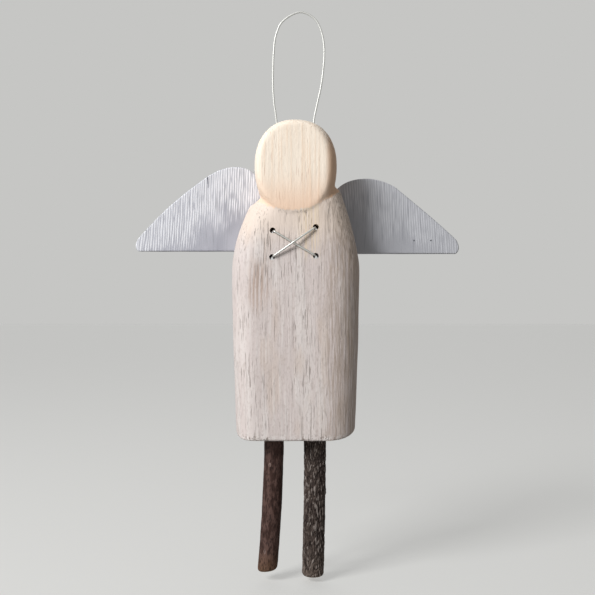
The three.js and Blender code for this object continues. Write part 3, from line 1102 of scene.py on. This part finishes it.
@dataclass
class Wing(SubAssembly):
    """A thin wing board nailed to the block's back, with heights over the hem in millimetres."""

    side: Side
    finish: WingFinish
    reach: float
    hem_at: float
    nose_height: float
    brow_x: float
    brow_at: float
    edge_bulge: float
    peak_x: float
    peak_at: float
    inner_at: float
    roughness: float
    nose_tuck: float = 1.0
    inner_end: float = 14.5
    inner_round: float = 2.0
    edge_round: float = 0.5
    edge_share: float = 0.3
    ridge_spacing: float = 1.05
    ridge_height: float = 0.1
    ridge_foot: float = 0.3
    ridge_sharpness: float = 1.4
    ridge_breaks: Waves = Waves(0.9, THROUGH, 5, 9.0)
    unbroken: float = 0.74
    broken: float = 0.95
    grain_lean: float = 0.06
    grain_warp: Waves = Waves(13, THROUGH, 38, 3.0)
    warp_reach: float = 0.9
    grain_waver: Waves = Waves(1.9, THROUGH, 8, 5.0)
    waver_reach: float = 0.26
    smooth_reach: float = 20
    rough_width: float = 62
    rough_height: float = 34
    rough_patches: Waves = Waves(11, THROUGH, 14, 7.0)
    patch_share: float = 0.35
    rough_from: Point = (0.38, 0.95)
    board_warp: Waves = Waves(12, 1, 18)
    board_wave: float = 0.12
    plain_relief: float = 0.38
    rough_relief: float = 0.07
    ridge_relief: float = 0.55
    voxel: float = 0.26
    smooth_rounds: int = 2
    nail_sink: float = 1.1
    nail_head_hole: float = 1.3
    nail_shank_hole: float = 0.7
    nail_step: float = 0.01
    pit_radius: float = 0.35
    pit_depth: float = 0.6
    pits: tuple[Point, ...] = ()
    split: tuple[float, float, float] | None = None
    split_tip: float = 0.05
    split_lean: float = 0.5
    split_depth: float = 0.7
    curve_steps: int = 24
    outline_points: int = 240

    def outline(self) -> list[Vector]:
        """Draws the outline, from the inner end along the hem to the nose and back over the peak.

        Returns:
            Points in x and z.
        """
        nose_at = self.hem_at + self.nose_height
        nose_x = self.reach - self.nose_height / 4
        tuck = (self.reach + self.nose_tuck, self.hem_at + self.nose_height / 3)
        nose, brow = Vector((nose_x, nose_at)), Vector((self.brow_x, self.brow_at))
        edge = (nose + brow) / 2 + Vector((self.edge_bulge, self.edge_bulge))
        shoulder = ((self.brow_x + self.peak_x) / 2, self.peak_at)
        peak, inner = (self.peak_x, self.peak_at), (self.inner_end, self.inner_at)
        stretches = [
            ((nose_x, self.hem_at), tuck, nose),
            (nose, edge, brow),
            (brow, shoulder, peak),
            (peak, (self.inner_end + self.inner_round, self.peak_at), inner),
        ]
        points = [Vector((self.inner_end, self.hem_at))]
        for stretch in stretches:
            a, b, c = map(Vector, stretch)
            for i in range(self.curve_steps):
                t = i / self.curve_steps
                points.append(a * (1 - t) ** 2 + b * (2 * t * (1 - t)) + c * t * t)
        points += [Vector(inner), points[0]]
        spread = even(points, self.outline_points + 1)[:-1]
        return [Vector((self.side.value * p.x, p.y)) for p in spread]

    def rings(self) -> list[Ring]:
        """Gives the board's rings from front to back, with eased edges.

        Returns:
            The rings, in metres.
        """
        outline = self.outline()
        centre = sum(outline, Vector((0, 0))) / len(outline)
        ease, part = self.edge_round, self.edge_round * self.edge_share
        levels = [(WING_FRONT, ease), (WING_FRONT + part, part), (WING_FRONT + ease, 0.0)]
        levels += [(WING_BACK - ease, 0.0), (WING_BACK - part, part), (WING_BACK, ease)]
        made = []
        for y, inset in levels:
            drawn_in = [p + (centre - p).normalized() * inset for p in outline]
            made.append([place(p.x, y, p.y) for p in drawn_in])
        return made

    def ridge(self, point: Vector) -> float:
        """Gives the height of the grain's fine upright ridges.

        Args:
            point: A place on the board, in millimetres.

        Returns:
            Values from 0 in a hollow to 1 on a crest.
        """
        lean = point.x + self.grain_lean * (point.z - self.hem_at) * self.side.value
        warp = self.warp_reach * self.grain_warp.at(point)
        waver = self.waver_reach * self.grain_waver.at(point)
        wave = 0.5 + 0.5 * math.sin(FULL_TURN * (lean + warp + waver) / self.ridge_spacing)
        whole = clamp(self.unbroken + self.broken * self.ridge_breaks.at(point))
        return whole * wave**self.ridge_sharpness

    def raised_grain(self, point: Vector, normal: Vector) -> tuple[float, float]:
        """Gives the board's surface, roughest towards the upper edge and the tip.

        Args:
            point: A place on the board, in millimetres.
            normal: The surface normal there.

        Returns:
            How far the surface moves, in millimetres, and its relief of 0 to 1.
        """
        ridge = self.ridge(point)
        outward = (abs(point.x) - self.smooth_reach) / self.rough_width
        upward = (point.z - self.hem_at) / self.rough_height
        patches = self.patch_share * self.rough_patches.at(point)
        strength = self.roughness * smoothstep(*self.rough_from, outward + upward + patches)
        facing = smoothstep(*FACE_ON, abs(normal.y))
        move = facing * self.ridge_height * strength * (ridge - self.ridge_foot)
        move += off_back(normal) * self.board_wave * self.board_warp.at(point)
        return move, self.plain_relief + strength * (self.rough_relief + self.ridge_relief * ridge)

    def nail_tool(self, x: float, z: float) -> Piece:
        """Gives a stepped tool for a sunk nail, from the board's back.

        Args:
            x: Distance of the nail from the middle of the figure.
            z: Height of the nail.

        Returns:
            The tool.
        """
        sink = CUTTER_RUN + self.nail_sink
        through = WING_BACK - WING_FRONT + 2 * CUTTER_RUN
        head, shank = self.nail_head_hole, self.nail_shank_hole
        profile = [(head, 0), (head, sink), (shank, sink + self.nail_step), (shank, through)]
        start = Vector((self.side.value * x, WING_BACK + CUTTER_RUN, z))
        return turned("nail_drill", start, Vector((0, -1, 0)), profile)

    def pit_tool(self, x: float, z: float) -> Piece:
        """Gives a round tool for a small pit in the board's front.

        Args:
            x: Distance of the pit from the middle of the figure.
            z: Height of the pit.

        Returns:
            The tool.
        """
        start = Vector((self.side.value * x, WING_FRONT - CUTTER_RUN, z))
        end = Vector((self.side.value * x, WING_FRONT + self.pit_depth, z))
        return Hole(start, end, self.pit_radius).tool()

    def split_tool(self, x: float, low: float, width: float) -> Piece:
        """Gives a wedge that splits the board's upper edge.

        Args:
            x: Distance of the split from the middle of the figure.
            low: Height of the split's lower end.
            width: Width of the split at the upper edge.

        Returns:
            The wedge.
        """
        wedge = added("split_wedge", bpy.ops.mesh.primitive_cube_add, size=2)
        for vertex in wedge.data.vertices:
            upper = vertex.co.z > 0
            half = width / 2 if upper else self.split_tip
            across = self.side.value * x + vertex.co.x * half + (0 if upper else self.split_lean)
            depth = WING_FRONT + vertex.co.y * (WING_BACK - WING_FRONT) * self.split_depth
            vertex.co = place(across, depth, self.peak_at if upper else low)
        return wedge

    def build(self) -> Pieces:
        """Saws the board, raises its grain and drills it.

        Returns:
            The board by its CAD node.
        """
        node = f"wing_{self.side.word}"
        board = loft(f"{node}_board", self.rings())
        even_out(board, self.voxel, self.smooth_rounds)
        sculpt(board, self.raised_grain)
        tools = [self.nail_tool(x, z) for x, z in BRAD_PLACES.values()]
        tools += [self.pit_tool(x, z) for x, z in self.pits]
        if self.split:
            tools.append(self.split_tool(*self.split))
        cut(board, tools)
        return {node: board}

    def dress(self, pieces: Pieces) -> None:
        """Paints the board."""
        for node, board in pieces.items():
            self.put_in_place(node, board, Slot.WASHED_WOOD, self.finish.mix())


@dataclass(frozen=True)
class Knot:
    """A small knot in the bark: its angle round the twig, its height, and its size in millimetres."""

    angle: float
    z: float
    size: float
    tall: float
    stretch: float = 1.5


@dataclass
class Twig(SubAssembly):
    """A leg: a twig with its bark on, and a whittled tenon at its top."""

    side: Side
    slot: Slot
    finish: BarkFinish
    x: float
    lean: float
    bow: float
    top_radius: float
    foot_radius: float
    length: float
    fissure: float
    knots: tuple[Knot, ...]
    swelling: Waves = Waves(9, 9, 14)
    swell: float = 0.16
    swell_shift: float = 14
    wrinkles: Waves = Waves(0.9, 0.9, 4)
    wrinkle: float = 0.1
    twisting: Waves = Waves(3, 3, 6)
    twist: float = 0.28
    plates: Waves = Waves(0.55, 0.55, 2.1)
    plate_height: float = 0.4
    crack_depth: float = 0.5
    crack_sharpness: float = 3.2
    wrinkle_tone: float = 0.3
    plate_tone: float = 1.2
    crack_tone: float = 0.6
    knot_tone: float = 0.9
    foot_slant: float = 0.0
    slant_from: float = 0.9
    foot_round: float = 1.6
    foot_fade: float = 0.8
    foot_crown: float = 0.25
    crown_share: float = 0.35
    cut_rim: float = 0.5
    tenon_radius: float = 3.1
    tenon_length: float = 16
    tenon_chamfer: float = 0.8
    around: int = 128
    along: int = 240

    def bark(self, angle: float, z: float) -> tuple[float, float]:
        """Gives the bark's height in millimetres and its relief of 0 to 1.

        Args:
            angle: Angle round the twig.
            z: Height below the shoulder, negative downwards.

        Returns:
            How far the bark stands out, and its relief.
        """
        radius = (self.top_radius + self.foot_radius) / 2
        spot = Vector((math.cos(angle) * radius, math.sin(angle) * radius, z))
        swollen = self.swelling.at(spot + Vector((0, 0, self.swell_shift * self.x)))
        twisted = Vector((self.twist * self.twisting.at(spot), 0, 0))
        plate = self.plates.at(spot + twisted)
        crack = max(0.0, 1 - abs(plate) * self.crack_sharpness)
        wrinkled = self.wrinkles.at(spot)
        height = self.swell * swollen + self.wrinkle * wrinkled
        height += self.fissure * (self.plate_height * abs(plate) - self.crack_depth * crack)
        relief = 0.5 + self.wrinkle_tone * wrinkled
        relief += self.fissure * (self.plate_tone * max(0.0, plate) - self.crack_tone * crack)
        for knot in self.knots:
            turn = (angle - knot.angle + math.pi) % FULL_TURN - math.pi
            away = math.hypot(turn * radius, (z - knot.z) / knot.stretch) / knot.size
            bump = math.exp(-away * away)
            height += knot.tall * bump
            relief += self.knot_tone * bump
        return height, clamp(relief)

    def profile(self, z: float) -> float:
        """Gives the twig's plain radius, rounded at the foot.

        Args:
            z: Height over the shoulder.

        Returns:
            The radius, in millimetres.
        """
        radius = self.top_radius + (self.top_radius - self.foot_radius) * z / self.length
        left = z + self.length
        if left < self.foot_round:
            drop = 1 - left / self.foot_round
            radius -= self.foot_round * (1 - math.sqrt(max(0.0, 1 - drop * drop)))
        return radius

    def settle(self, radius: float, angle: float, z: float) -> Vector:
        """Bows and leans a point of the straight twig, and sets it under the hem.

        Args:
            radius: Distance from the twig's axis.
            angle: Angle round the axis.
            z: Height over the shoulder.

        Returns:
            The place in millimetres from the hem's middle.
        """
        share = clamp(-z / self.length)
        x = radius * math.cos(angle)
        z += self.foot_slant * x * smoothstep(self.slant_from, 1.0, share)
        x += self.bow * 4 * share * (1 - share)
        turn = math.radians(self.lean)
        drop = FIT_GAP + self.top_radius * math.tan(turn)
        across = x * math.cos(turn) + z * math.sin(turn)
        up = z * math.cos(turn) - x * math.sin(turn)
        return Vector((self.x + across, radius * math.sin(angle), up - drop))

    def holes(self) -> list[Hole]:
        """Gives the socket that the tenon stands in, leaned as the twig is.

        Returns:
            The socket alone.
        """
        shoulder = self.settle(0, 0, 0)
        top = self.settle(0, 0, self.tenon_length + FIT_GAP)
        start = shoulder + (shoulder - top).normalized() * DRILL_RUN
        return [Hole(start, top, self.tenon_radius + FIT_GAP)]

    def roll(self, leg: Piece) -> None:
        """Rolls a flat grid into the barked twig and marks the cut rim of its foot.

        Args:
            leg: A grid from -1 to 1 each way.
        """
        for face in leg.data.polygons:
            from_foot = self.length * (face.center.y + 1) / 2
            face.material_index = int(from_foot < self.cut_rim)
        relief = leg.data.attributes.new(RELIEF, "FLOAT", "POINT")
        for vertex, item in zip(leg.data.vertices, relief.data):
            angle = math.pi * vertex.co.x
            z = self.length * (vertex.co.y - 1) / 2
            height, item.value = self.bark(angle, z)
            radius = self.profile(z) + height * smoothstep(-self.length, self.foot_fade - self.length, z)
            vertex.co = place(*self.settle(radius, angle, z))

    def build(self) -> Pieces:
        """Rolls the twig, and closes it with a crowned foot and a chamfered tenon.

        Returns:
            The twig by its CAD node.
        """
        node = f"leg_{self.side.word}"
        steps = {"x_subdivisions": self.around, "y_subdivisions": self.along}
        leg = added(f"{node}_twig", bpy.ops.mesh.primitive_grid_add, size=2, **steps)
        self.roll(leg)
        start_editing(leg)
        bpy.ops.mesh.remove_doubles(threshold=WELD)
        crown = [(self.crown_share * self.foot_radius, -self.length - self.foot_crown)]
        tenon = [
            (self.tenon_radius, 0.0),
            (self.tenon_radius, self.tenon_length - self.tenon_chamfer),
            (self.tenon_radius - self.tenon_chamfer, self.tenon_length),
        ]
        self.close_end(leg, True, crown)
        self.close_end(leg, False, tenon)
        end_editing()
        return {node: leg}

    def close_end(self, leg: Piece, foot: bool, steps: Sequence[Point]) -> None:
        """Fills an open end, extrudes it from ring to ring and marks it as cut wood.

        Args:
            leg: The twig, in edit mode.
            foot: Whether this is the foot.
            steps: Radius and height over the shoulder of each new ring.
        """
        bpy.ops.mesh.select_all(action="DESELECT")
        shape = bmesh.from_edit_mesh(leg.data)
        middle = place(0, 0, -self.length / 2).z
        for edge in shape.edges:
            edge.select = edge.is_boundary and (edge.verts[0].co.z < middle) == foot
        bpy.ops.mesh.edge_face_add()
        for radius, z in steps:
            bpy.ops.mesh.extrude_region_move()
            shape = bmesh.from_edit_mesh(leg.data)
            ring = [v for v in shape.verts if v.select]
            centre = sum((v.co for v in ring), Vector()) / len(ring)
            for vertex in ring:
                out = vertex.co - centre
                vertex.co = place(*self.settle(radius, math.atan2(out.y, out.x), z))
                for face in vertex.link_faces:
                    face.material_index = 1
            bmesh.update_edit_mesh(leg.data)

    def dress(self, pieces: Pieces) -> None:
        """Gives the twig its bark, and end grain where it is cut.

        Args:
            pieces: The twig by its CAD node.
        """
        foot = self.settle(0, 0, -self.length)
        for node, leg in pieces.items():
            cut_wood = EndGrainFinish(f"end_grain_of_{self.side.word}_twig", foot.x)
            self.put_in_place(node, leg, self.slot, self.finish.mix(), cut_wood.mix())


class MetalWork(SubAssembly):
    """Pieces of one metal, which need no more than its finish."""

    slot: ClassVar[Slot] = Slot.SILVER_WIRE
    metal: ClassVar[MetalFinish] = BRIGHT_WIRE

    def dress(self, pieces: Pieces) -> None:
        """Gives each piece its metal."""
        for node, piece in pieces.items():
            self.put_in_place(node, piece, self.slot, self.metal.mix())


@dataclass
class ChestWire(MetalWork):
    """Wire laced through the chest: a cross in front, a strand and a twist behind."""

    metal: ClassVar[MetalFinish] = LACING_WIRE

    upper_left: Point = (-9.9, 90.2)
    upper_right: Point = (8.6, 91.7)
    lower_left: Point = (-10.1, 78.8)
    lower_right: Point = (8.6, 79.3)
    hole_radius: float = 1.25
    pull: float = 0.55
    strand_gap: float = 0.5
    bend_radius: float = 0.9
    twist_turns: float = 2.5
    twist_length: float = 12
    twist_drop: float = 3.5
    twist_steps: int = 24
    front: float = BLOCK_FRONT + ROBE_SET_BACK - FIT_GAP - WIRE_RADIUS
    back: float = BLOCK_BACK + FIT_GAP + WIRE_RADIUS

    def holes(self) -> list[Hole]:
        """Gives the four lacing holes, right through the block.

        Returns:
            The holes.
        """
        made = []
        for x, z in (self.upper_left, self.upper_right, self.lower_left, self.lower_right):
            start = Vector((x, BLOCK_FRONT - DRILL_RUN, z))
            made.append(Hole(start, Vector((x, BLOCK_BACK + DRILL_RUN, z)), self.hole_radius))
        return made

    def twist(self, phase: float) -> list[Vector]:
        """Gives one strand of the twist, from its top down.

        Args:
            phase: Angle at which the strand starts.

        Returns:
            Points in millimetres from the hem's middle.
        """
        radius = WIRE_RADIUS + self.strand_gap / 2
        x = (self.lower_left[0] + self.lower_right[0]) / 2
        y = self.back + radius
        top = min(self.lower_left[1], self.lower_right[1]) - self.twist_drop
        steps = round(self.twist_turns * self.twist_steps)
        points = []
        for i in range(steps + 1):
            angle = phase + FULL_TURN * i / self.twist_steps
            z = top - self.twist_length * i / steps
            points.append(Vector((x + radius * math.cos(angle), y + radius * math.sin(angle), z)))
        return points

    def route(self) -> list[Vector]:
        """Gives the whole route, from one end of the twist to the other.

        Returns:
            Points in millimetres from the hem's middle.
        """
        left = list(reversed(self.twist(math.pi)))
        right = self.twist(0.0)
        middle = (Vector(self.lower_left) + Vector(self.upper_right)) / 2

        def at(hole: Point, y: float) -> Vector:
            """Gives the wire's place in a hole, drawn towards the middle of the cross."""
            drawn = Vector(hole) + (middle - Vector(hole)).normalized() * self.pull
            return Vector((drawn.x, y, drawn.y))

        corners = [
            left.pop(),
            at(self.lower_left, self.back),
            at(self.lower_left, self.front),
            Vector((middle.x, self.front - 2 * WIRE_RADIUS - self.strand_gap, middle.y)),
            at(self.upper_right, self.front),
            at(self.upper_right, self.back),
            at(self.upper_left, self.back),
            at(self.upper_left, self.front),
            at(self.lower_right, self.front),
            at(self.lower_right, self.back),
            right.pop(0),
        ]
        return [*left, *bend(corners, self.bend_radius), *right]

    def build(self) -> Pieces:
        """Bends the wire along its route."""
        return {"chest_wire": wire("laced_chest_wire", self.route())}


@dataclass
class HangerLoop(MetalWork):
    """Wire loop over the head, with an eye at each foot that turns on the staple's bar."""

    body: ClassVar[Body] = Body.HANGER

    eye_radius: float = 1.25
    eye_turns: float = 1.25
    eye_pitch: float = 1.5
    eye_steps: int = 24
    arch_steps: int = 10
    arch: tuple[Point, ...] = (
        (-7.7, 0),
        (-8.8, 15.5),
        (-9.8, 23),
        (-10.4, 32),
        (-10.1, 46),
        (-8.9, 55),
        (-5.6, 61.2),
        (1.9, 65),
        (8.6, 61.9),
        (11.9, 55),
        (12.9, 46),
        (11.7, 33),
        (9.4, 22),
        (8.1, 15),
        (7.2, 0),
    )

    def eye(self, x: float, inward: int) -> list[Vector]:
        """Gives an eye's turns round the bar, from the foot of the loop on.

        Args:
            x: Place of the loop's foot along the bar.
            inward: Direction of the turns along the bar, 1 to the right or -1.

        Returns:
            Points in millimetres from the hem's middle.
        """
        points = []
        for i in range(1, round(self.eye_turns * self.eye_steps) + 1):
            angle = math.pi + FULL_TURN * i / self.eye_steps
            slide = inward * self.eye_pitch * i / self.eye_steps
            y = BAR_Y + self.eye_radius * math.cos(angle)
            points.append(Vector((x + slide, y, BAR_AT + self.eye_radius * math.sin(angle))))
        return points

    def build(self) -> Pieces:
        """Bends the loop and its eyes.

        Returns:
            The loop by its CAD node.
        """
        y = BAR_Y - self.eye_radius
        arch = [Vector((p.x, y, BAR_AT + p.y)) for p in spline(self.arch, self.arch_steps)]
        left = list(reversed(self.eye(self.arch[0][0], 1)))
        right = self.eye(self.arch[-1][0], -1)
        return {"hanger_loop": wire("wire_hanging_loop", [*left, *arch, *right])}


@dataclass
class HangerStaple(MetalWork):
    """Wire staple driven into the back of the head, which the loop turns on."""

    width: float = 19.2
    tip: float = 3.5
    bend_radius: float = 1.1

    def holes(self) -> list[Hole]:
        """Gives the holes that the two prongs sit in.

        Returns:
            The holes.
        """
        made = []
        for side in Side:
            x = side.value * self.width / 2
            start = Vector((x, BLOCK_BACK + DRILL_RUN, BAR_AT))
            made.append(Hole(start, Vector((x, self.tip - FIT_GAP, BAR_AT)), WIRE_RADIUS + FIT_GAP))
        return made

    def build(self) -> Pieces:
        """Bends the staple.

        Returns:
            The staple by its CAD node.
        """
        half = self.width / 2
        ends = [(-half, self.tip), (-half, BAR_Y), (half, BAR_Y), (half, self.tip)]
        corners = [Vector((x, y, BAR_AT)) for x, y in ends]
        return {"hanger_staple": wire("staple_in_head", bend(corners, self.bend_radius))}


@dataclass
class WingBrads(MetalWork):
    """Four brads that nail the wings to the block, their heads punched just below the surface."""

    slot: ClassVar[Slot] = Slot.BRAD_STEEL
    metal: ClassVar[MetalFinish] = BRAD_STEEL

    head_y: float = 15.5
    head: float = 1.2
    shank: float = 0.6
    length: float = 12
    point: float = 1.5
    tip: float = 0.08
    neck_step: float = 0.02
    head_profile: tuple[Point, ...] = ((0.5, 0.0), (0.85, 0.02), (1.0, 0.12), (1.0, 0.7), (0.92, 0.8))

    def holes(self) -> list[Hole]:
        """Gives the blind holes that the shanks sit in.

        Returns:
            The holes.
        """
        made = []
        end = self.head_y - self.length - FIT_GAP
        for side in Side:
            for x, z in BRAD_PLACES.values():
                start = Vector((side.value * x, BLOCK_BACK + DRILL_RUN, z))
                made.append(Hole(start, Vector((side.value * x, end, z)), self.shank + FIT_GAP))
        return made

    def build(self) -> Pieces:
        """Turns one brad and copies it to its four places, each with its own mesh.

        Returns:
            The brads by their CAD nodes.
        """
        profile = [(self.head * share, down) for share, down in self.head_profile]
        neck = self.head_profile[-1][1] + self.neck_step
        profile += [(self.shank, neck), (self.shank, self.length - self.point), (self.tip, self.length)]
        brad = turned("brad_start", Vector((0, self.head_y, 0)), Vector((0, -1, 0)), profile)
        pieces = {}
        for side in Side:
            for name, (x, z) in BRAD_PLACES.items():
                node = f"wing_brad_{side.word}_{name}"
                only(brad)
                bpy.ops.object.duplicate()
                pieces[node] = named(f"{node}_nail")
                pieces[node].data.transform(Matrix.Translation(Vector((side.value * x, 0, z)) * MM))
        bpy.data.objects.remove(brad)
        return pieces


# Stage


@dataclass
class Studio:
    """Pale floor, soft light from the left, and a camera at the photograph's angle."""

    image_px: float = 595
    focal_px: float = 954.5
    camera_distance: float = 420
    axis_x: float = 0.77
    axis_z: float = 61.5
    sensor_mm: float = 36
    clip_start: float = 0.01
    backdrop: str = "#C6C6C4"
    floor_paint: str = "#959593"
    floor_lift: float = 0.63
    floor_roughness: float = 0.9
    floor_size: float = 8
    floor_drop: float = 2.0
    fill: float = 0.24
    lit_height: float = 60
    window: Point = (-0.65, -0.65, 0.56)
    window_size: float = 0.4
    window_watts: float = 11.5
    room: Point = (0.15, -0.9, -0.4)
    room_strength: float = 0.9
    room_spread: float = 60

    def camera(self) -> None:
        """Sets up the camera square to the figure's front."""
        data = bpy.data.cameras.new("front_camera")
        data.sensor_width = self.sensor_mm
        data.lens = self.focal_px / self.image_px * self.sensor_mm
        data.clip_start = self.clip_start
        made = bpy.data.objects.new("front_camera", data)
        made.location = place(self.axis_x, -self.camera_distance, self.axis_z)
        made.rotation_euler = (math.pi / 2, 0, 0)
        bpy.context.scene.collection.objects.link(made)
        bpy.context.scene.camera = made

    def seen(self, tree: bpy.types.NodeTree) -> Pattern:
        """Finds the rays that see the background: from the camera, or off or through a gloss.

        Args:
            tree: The tree of the floor's material or the world.

        Returns:
            1 for such rays and 0 for others.
        """
        rays = add_node(tree, "LightPath").outputs
        most = {"operation": "MAXIMUM"}
        first = add_node(tree, "Math", most, i0=rays["Is Camera Ray"], i1=rays["Is Glossy Ray"])
        return add_node(tree, "Math", most, i0=first, i1=rays["Is Transmission Ray"])

    def world(self) -> None:
        """Fills the shadows softly, and shows a plain pale background."""
        world = bpy.data.worlds.new("pale_room")
        world.use_nodes = True
        bpy.context.scene.world = world
        tree = world.node_tree
        tree.nodes.clear()
        fill = add_node(tree, "Background", Color=(1, 1, 1, 1), Strength=self.fill)
        shown = add_node(tree, "Background", Color=linear(self.backdrop), Strength=1.0)
        mixed = add_node(tree, "MixShader", i0=self.seen(tree), i1=fill, i2=shown)
        add_node(tree, "OutputWorld", Surface=mixed)

    def floor(self) -> None:
        """Lays a plain pale floor just below the feet, as light to the eye as the background."""
        low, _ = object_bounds()
        under = (0, 0, low.z - self.floor_drop * MM)
        floor = added("pale_floor", bpy.ops.mesh.primitive_plane_add, size=self.floor_size, location=under)
        material = bpy.data.materials.new("matt_pale_paint")
        material.use_nodes = True
        tree = material.node_tree
        paint = tree.nodes["Principled BSDF"].inputs
        feed(paint["Base Color"], linear(self.floor_paint))
        feed(paint["Roughness"], self.floor_roughness)
        feed(paint["Emission Color"], linear(self.backdrop))
        lift = add_node(tree, "Math", {"operation": "MULTIPLY"}, i0=self.seen(tree), i1=self.floor_lift)
        feed(paint["Emission Strength"], lift)
        floor.data.materials.append(material)
        floor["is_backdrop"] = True

    def hang(self, lamp: bpy.types.Light, spot: Vector, direction: Vector) -> None:
        """Hangs a lamp.

        Args:
            lamp: The lamp.
            spot: Where it hangs, in metres.
            direction: Where it shines.
        """
        made = bpy.data.objects.new(lamp.name, lamp)
        made.location = spot
        made.rotation_mode = "QUATERNION"
        made.rotation_quaternion = direction.to_track_quat("-Z", "Y")
        bpy.context.scene.collection.objects.link(made)

    def lamps(self) -> None:
        """Lights the figure from a window at the left, and softly from the room behind it."""
        window = bpy.data.lights.new("window_left", "AREA")
        window.size = self.window_size
        window.energy = self.window_watts
        away = Vector(self.window)
        self.hang(window, place(0, 0, self.lit_height) + away, -away)
        room = bpy.data.lights.new("room_behind", "SUN")
        room.energy = self.room_strength
        room.angle = math.radians(self.room_spread)
        self.hang(room, Vector(), Vector(self.room))

    def build(self) -> None:
        """Sets up camera, world, floor and lamps."""
        self.camera()
        self.world()
        self.floor()
        self.lamps()
        bpy.context.scene.view_settings.view_transform = "Standard"


# The figure


def wing_boards() -> list[Wing]:
    """Describes the two wings, which differ as boards sawn by hand do.

    Returns:
        The left wing and the right one.
    """
    white = WingFinish(
        name="plywood_in_white_paint",
        smooth="#A3A4AE",
        hollow="#AFB0B9",
        paint="#B9BAC3",
        crest="#E9EAEF",
    )
    worn = WingFinish(
        name="plywood_in_worn_white_paint",
        smooth="#AEAFB5",
        hollow="#A3A4AB",
        paint="#BBBCC2",
        crest="#CDCED3",
    )
    left = Wing(
        side=Side.LEFT,
        finish=white,
        reach=72.9,
        hem_at=82.4,
        nose_height=6,
        brow_x=40.3,
        brow_at=116.2,
        edge_bulge=1.9,
        peak_x=27,
        peak_at=120.7,
        inner_at=108,
        roughness=1.0,
        split=(40.2, 111.2, 0.8),
    )
    right = Wing(
        side=Side.RIGHT,
        finish=worn,
        reach=74.4,
        hem_at=81.3,
        nose_height=6.5,
        brow_x=45,
        brow_at=111.6,
        edge_bulge=0.5,
        peak_x=32,
        peak_at=115.4,
        inner_at=101,
        roughness=0.75,
        pits=((53.6, 87.3), (61.3, 87.3)),
    )
    return [left, right]


def twig_legs() -> list[Twig]:
    """Describes the two legs: a smooth red twig, and a thicker grey one with fissured bark.

    Returns:
        The left leg and the right one.
    """
    red = BarkFinish(
        name="smooth_red_twig_bark",
        crack="#1E1412",
        base="#5E4842",
        shade="#3C2A25",
        crest="#86716A",
        foot="#755945",
        crest_from=0.66,
        roughness=0.75,
    )
    grey = BarkFinish(
        name="fissured_grey_twig_bark",
        crack="#211A18",
        base="#574C46",
        shade="#403632",
        crest="#918781",
        foot="#75685F",
        crest_from=0.54,
        roughness=0.85,
    )
    left = Twig(
        side=Side.LEFT,
        slot=Slot.RED_BARK,
        finish=red,
        x=-9.6,
        lean=2.9,
        bow=0.55,
        top_radius=4.3,
        foot_radius=4.3,
        length=58,
        fissure=0.06,
        knots=(Knot(-1.9, -11, 0.6, 0.18), Knot(-2.0, -49, 0.6, 0.16)),
        foot_slant=0.16,
    )
    right = Twig(
        side=Side.RIGHT,
        slot=Slot.GREY_BARK,
        finish=grey,
        x=8.5,
        lean=0.95,
        bow=0.2,
        top_radius=4.75,
        foot_radius=4.65,
        length=60.5,
        fissure=0.55,
        knots=(Knot(-0.1, -23, 1.2, 0.45),),
    )
    return [left, right]


def main() -> None:
    """Builds the sub-assemblies in order and reports each piece."""
    logging.basicConfig(level=logging.INFO, format="%(name)s: %(message)s")
    Studio().build()
    held = [*wing_boards(), *twig_legs(), ChestWire(), HangerLoop(), HangerStaple(), WingBrads()]
    block = CarvedBlock(drilled=[hole for part in held for hole in part.holes()])
    for part in (block, *held):
        pieces = part.build()
        part.dress(pieces)
        for node, piece in pieces.items():
            log.info("%s stands for %s with %d faces", piece.name, node, len(piece.data.polygons))


if __name__ == "__main__":
    main()
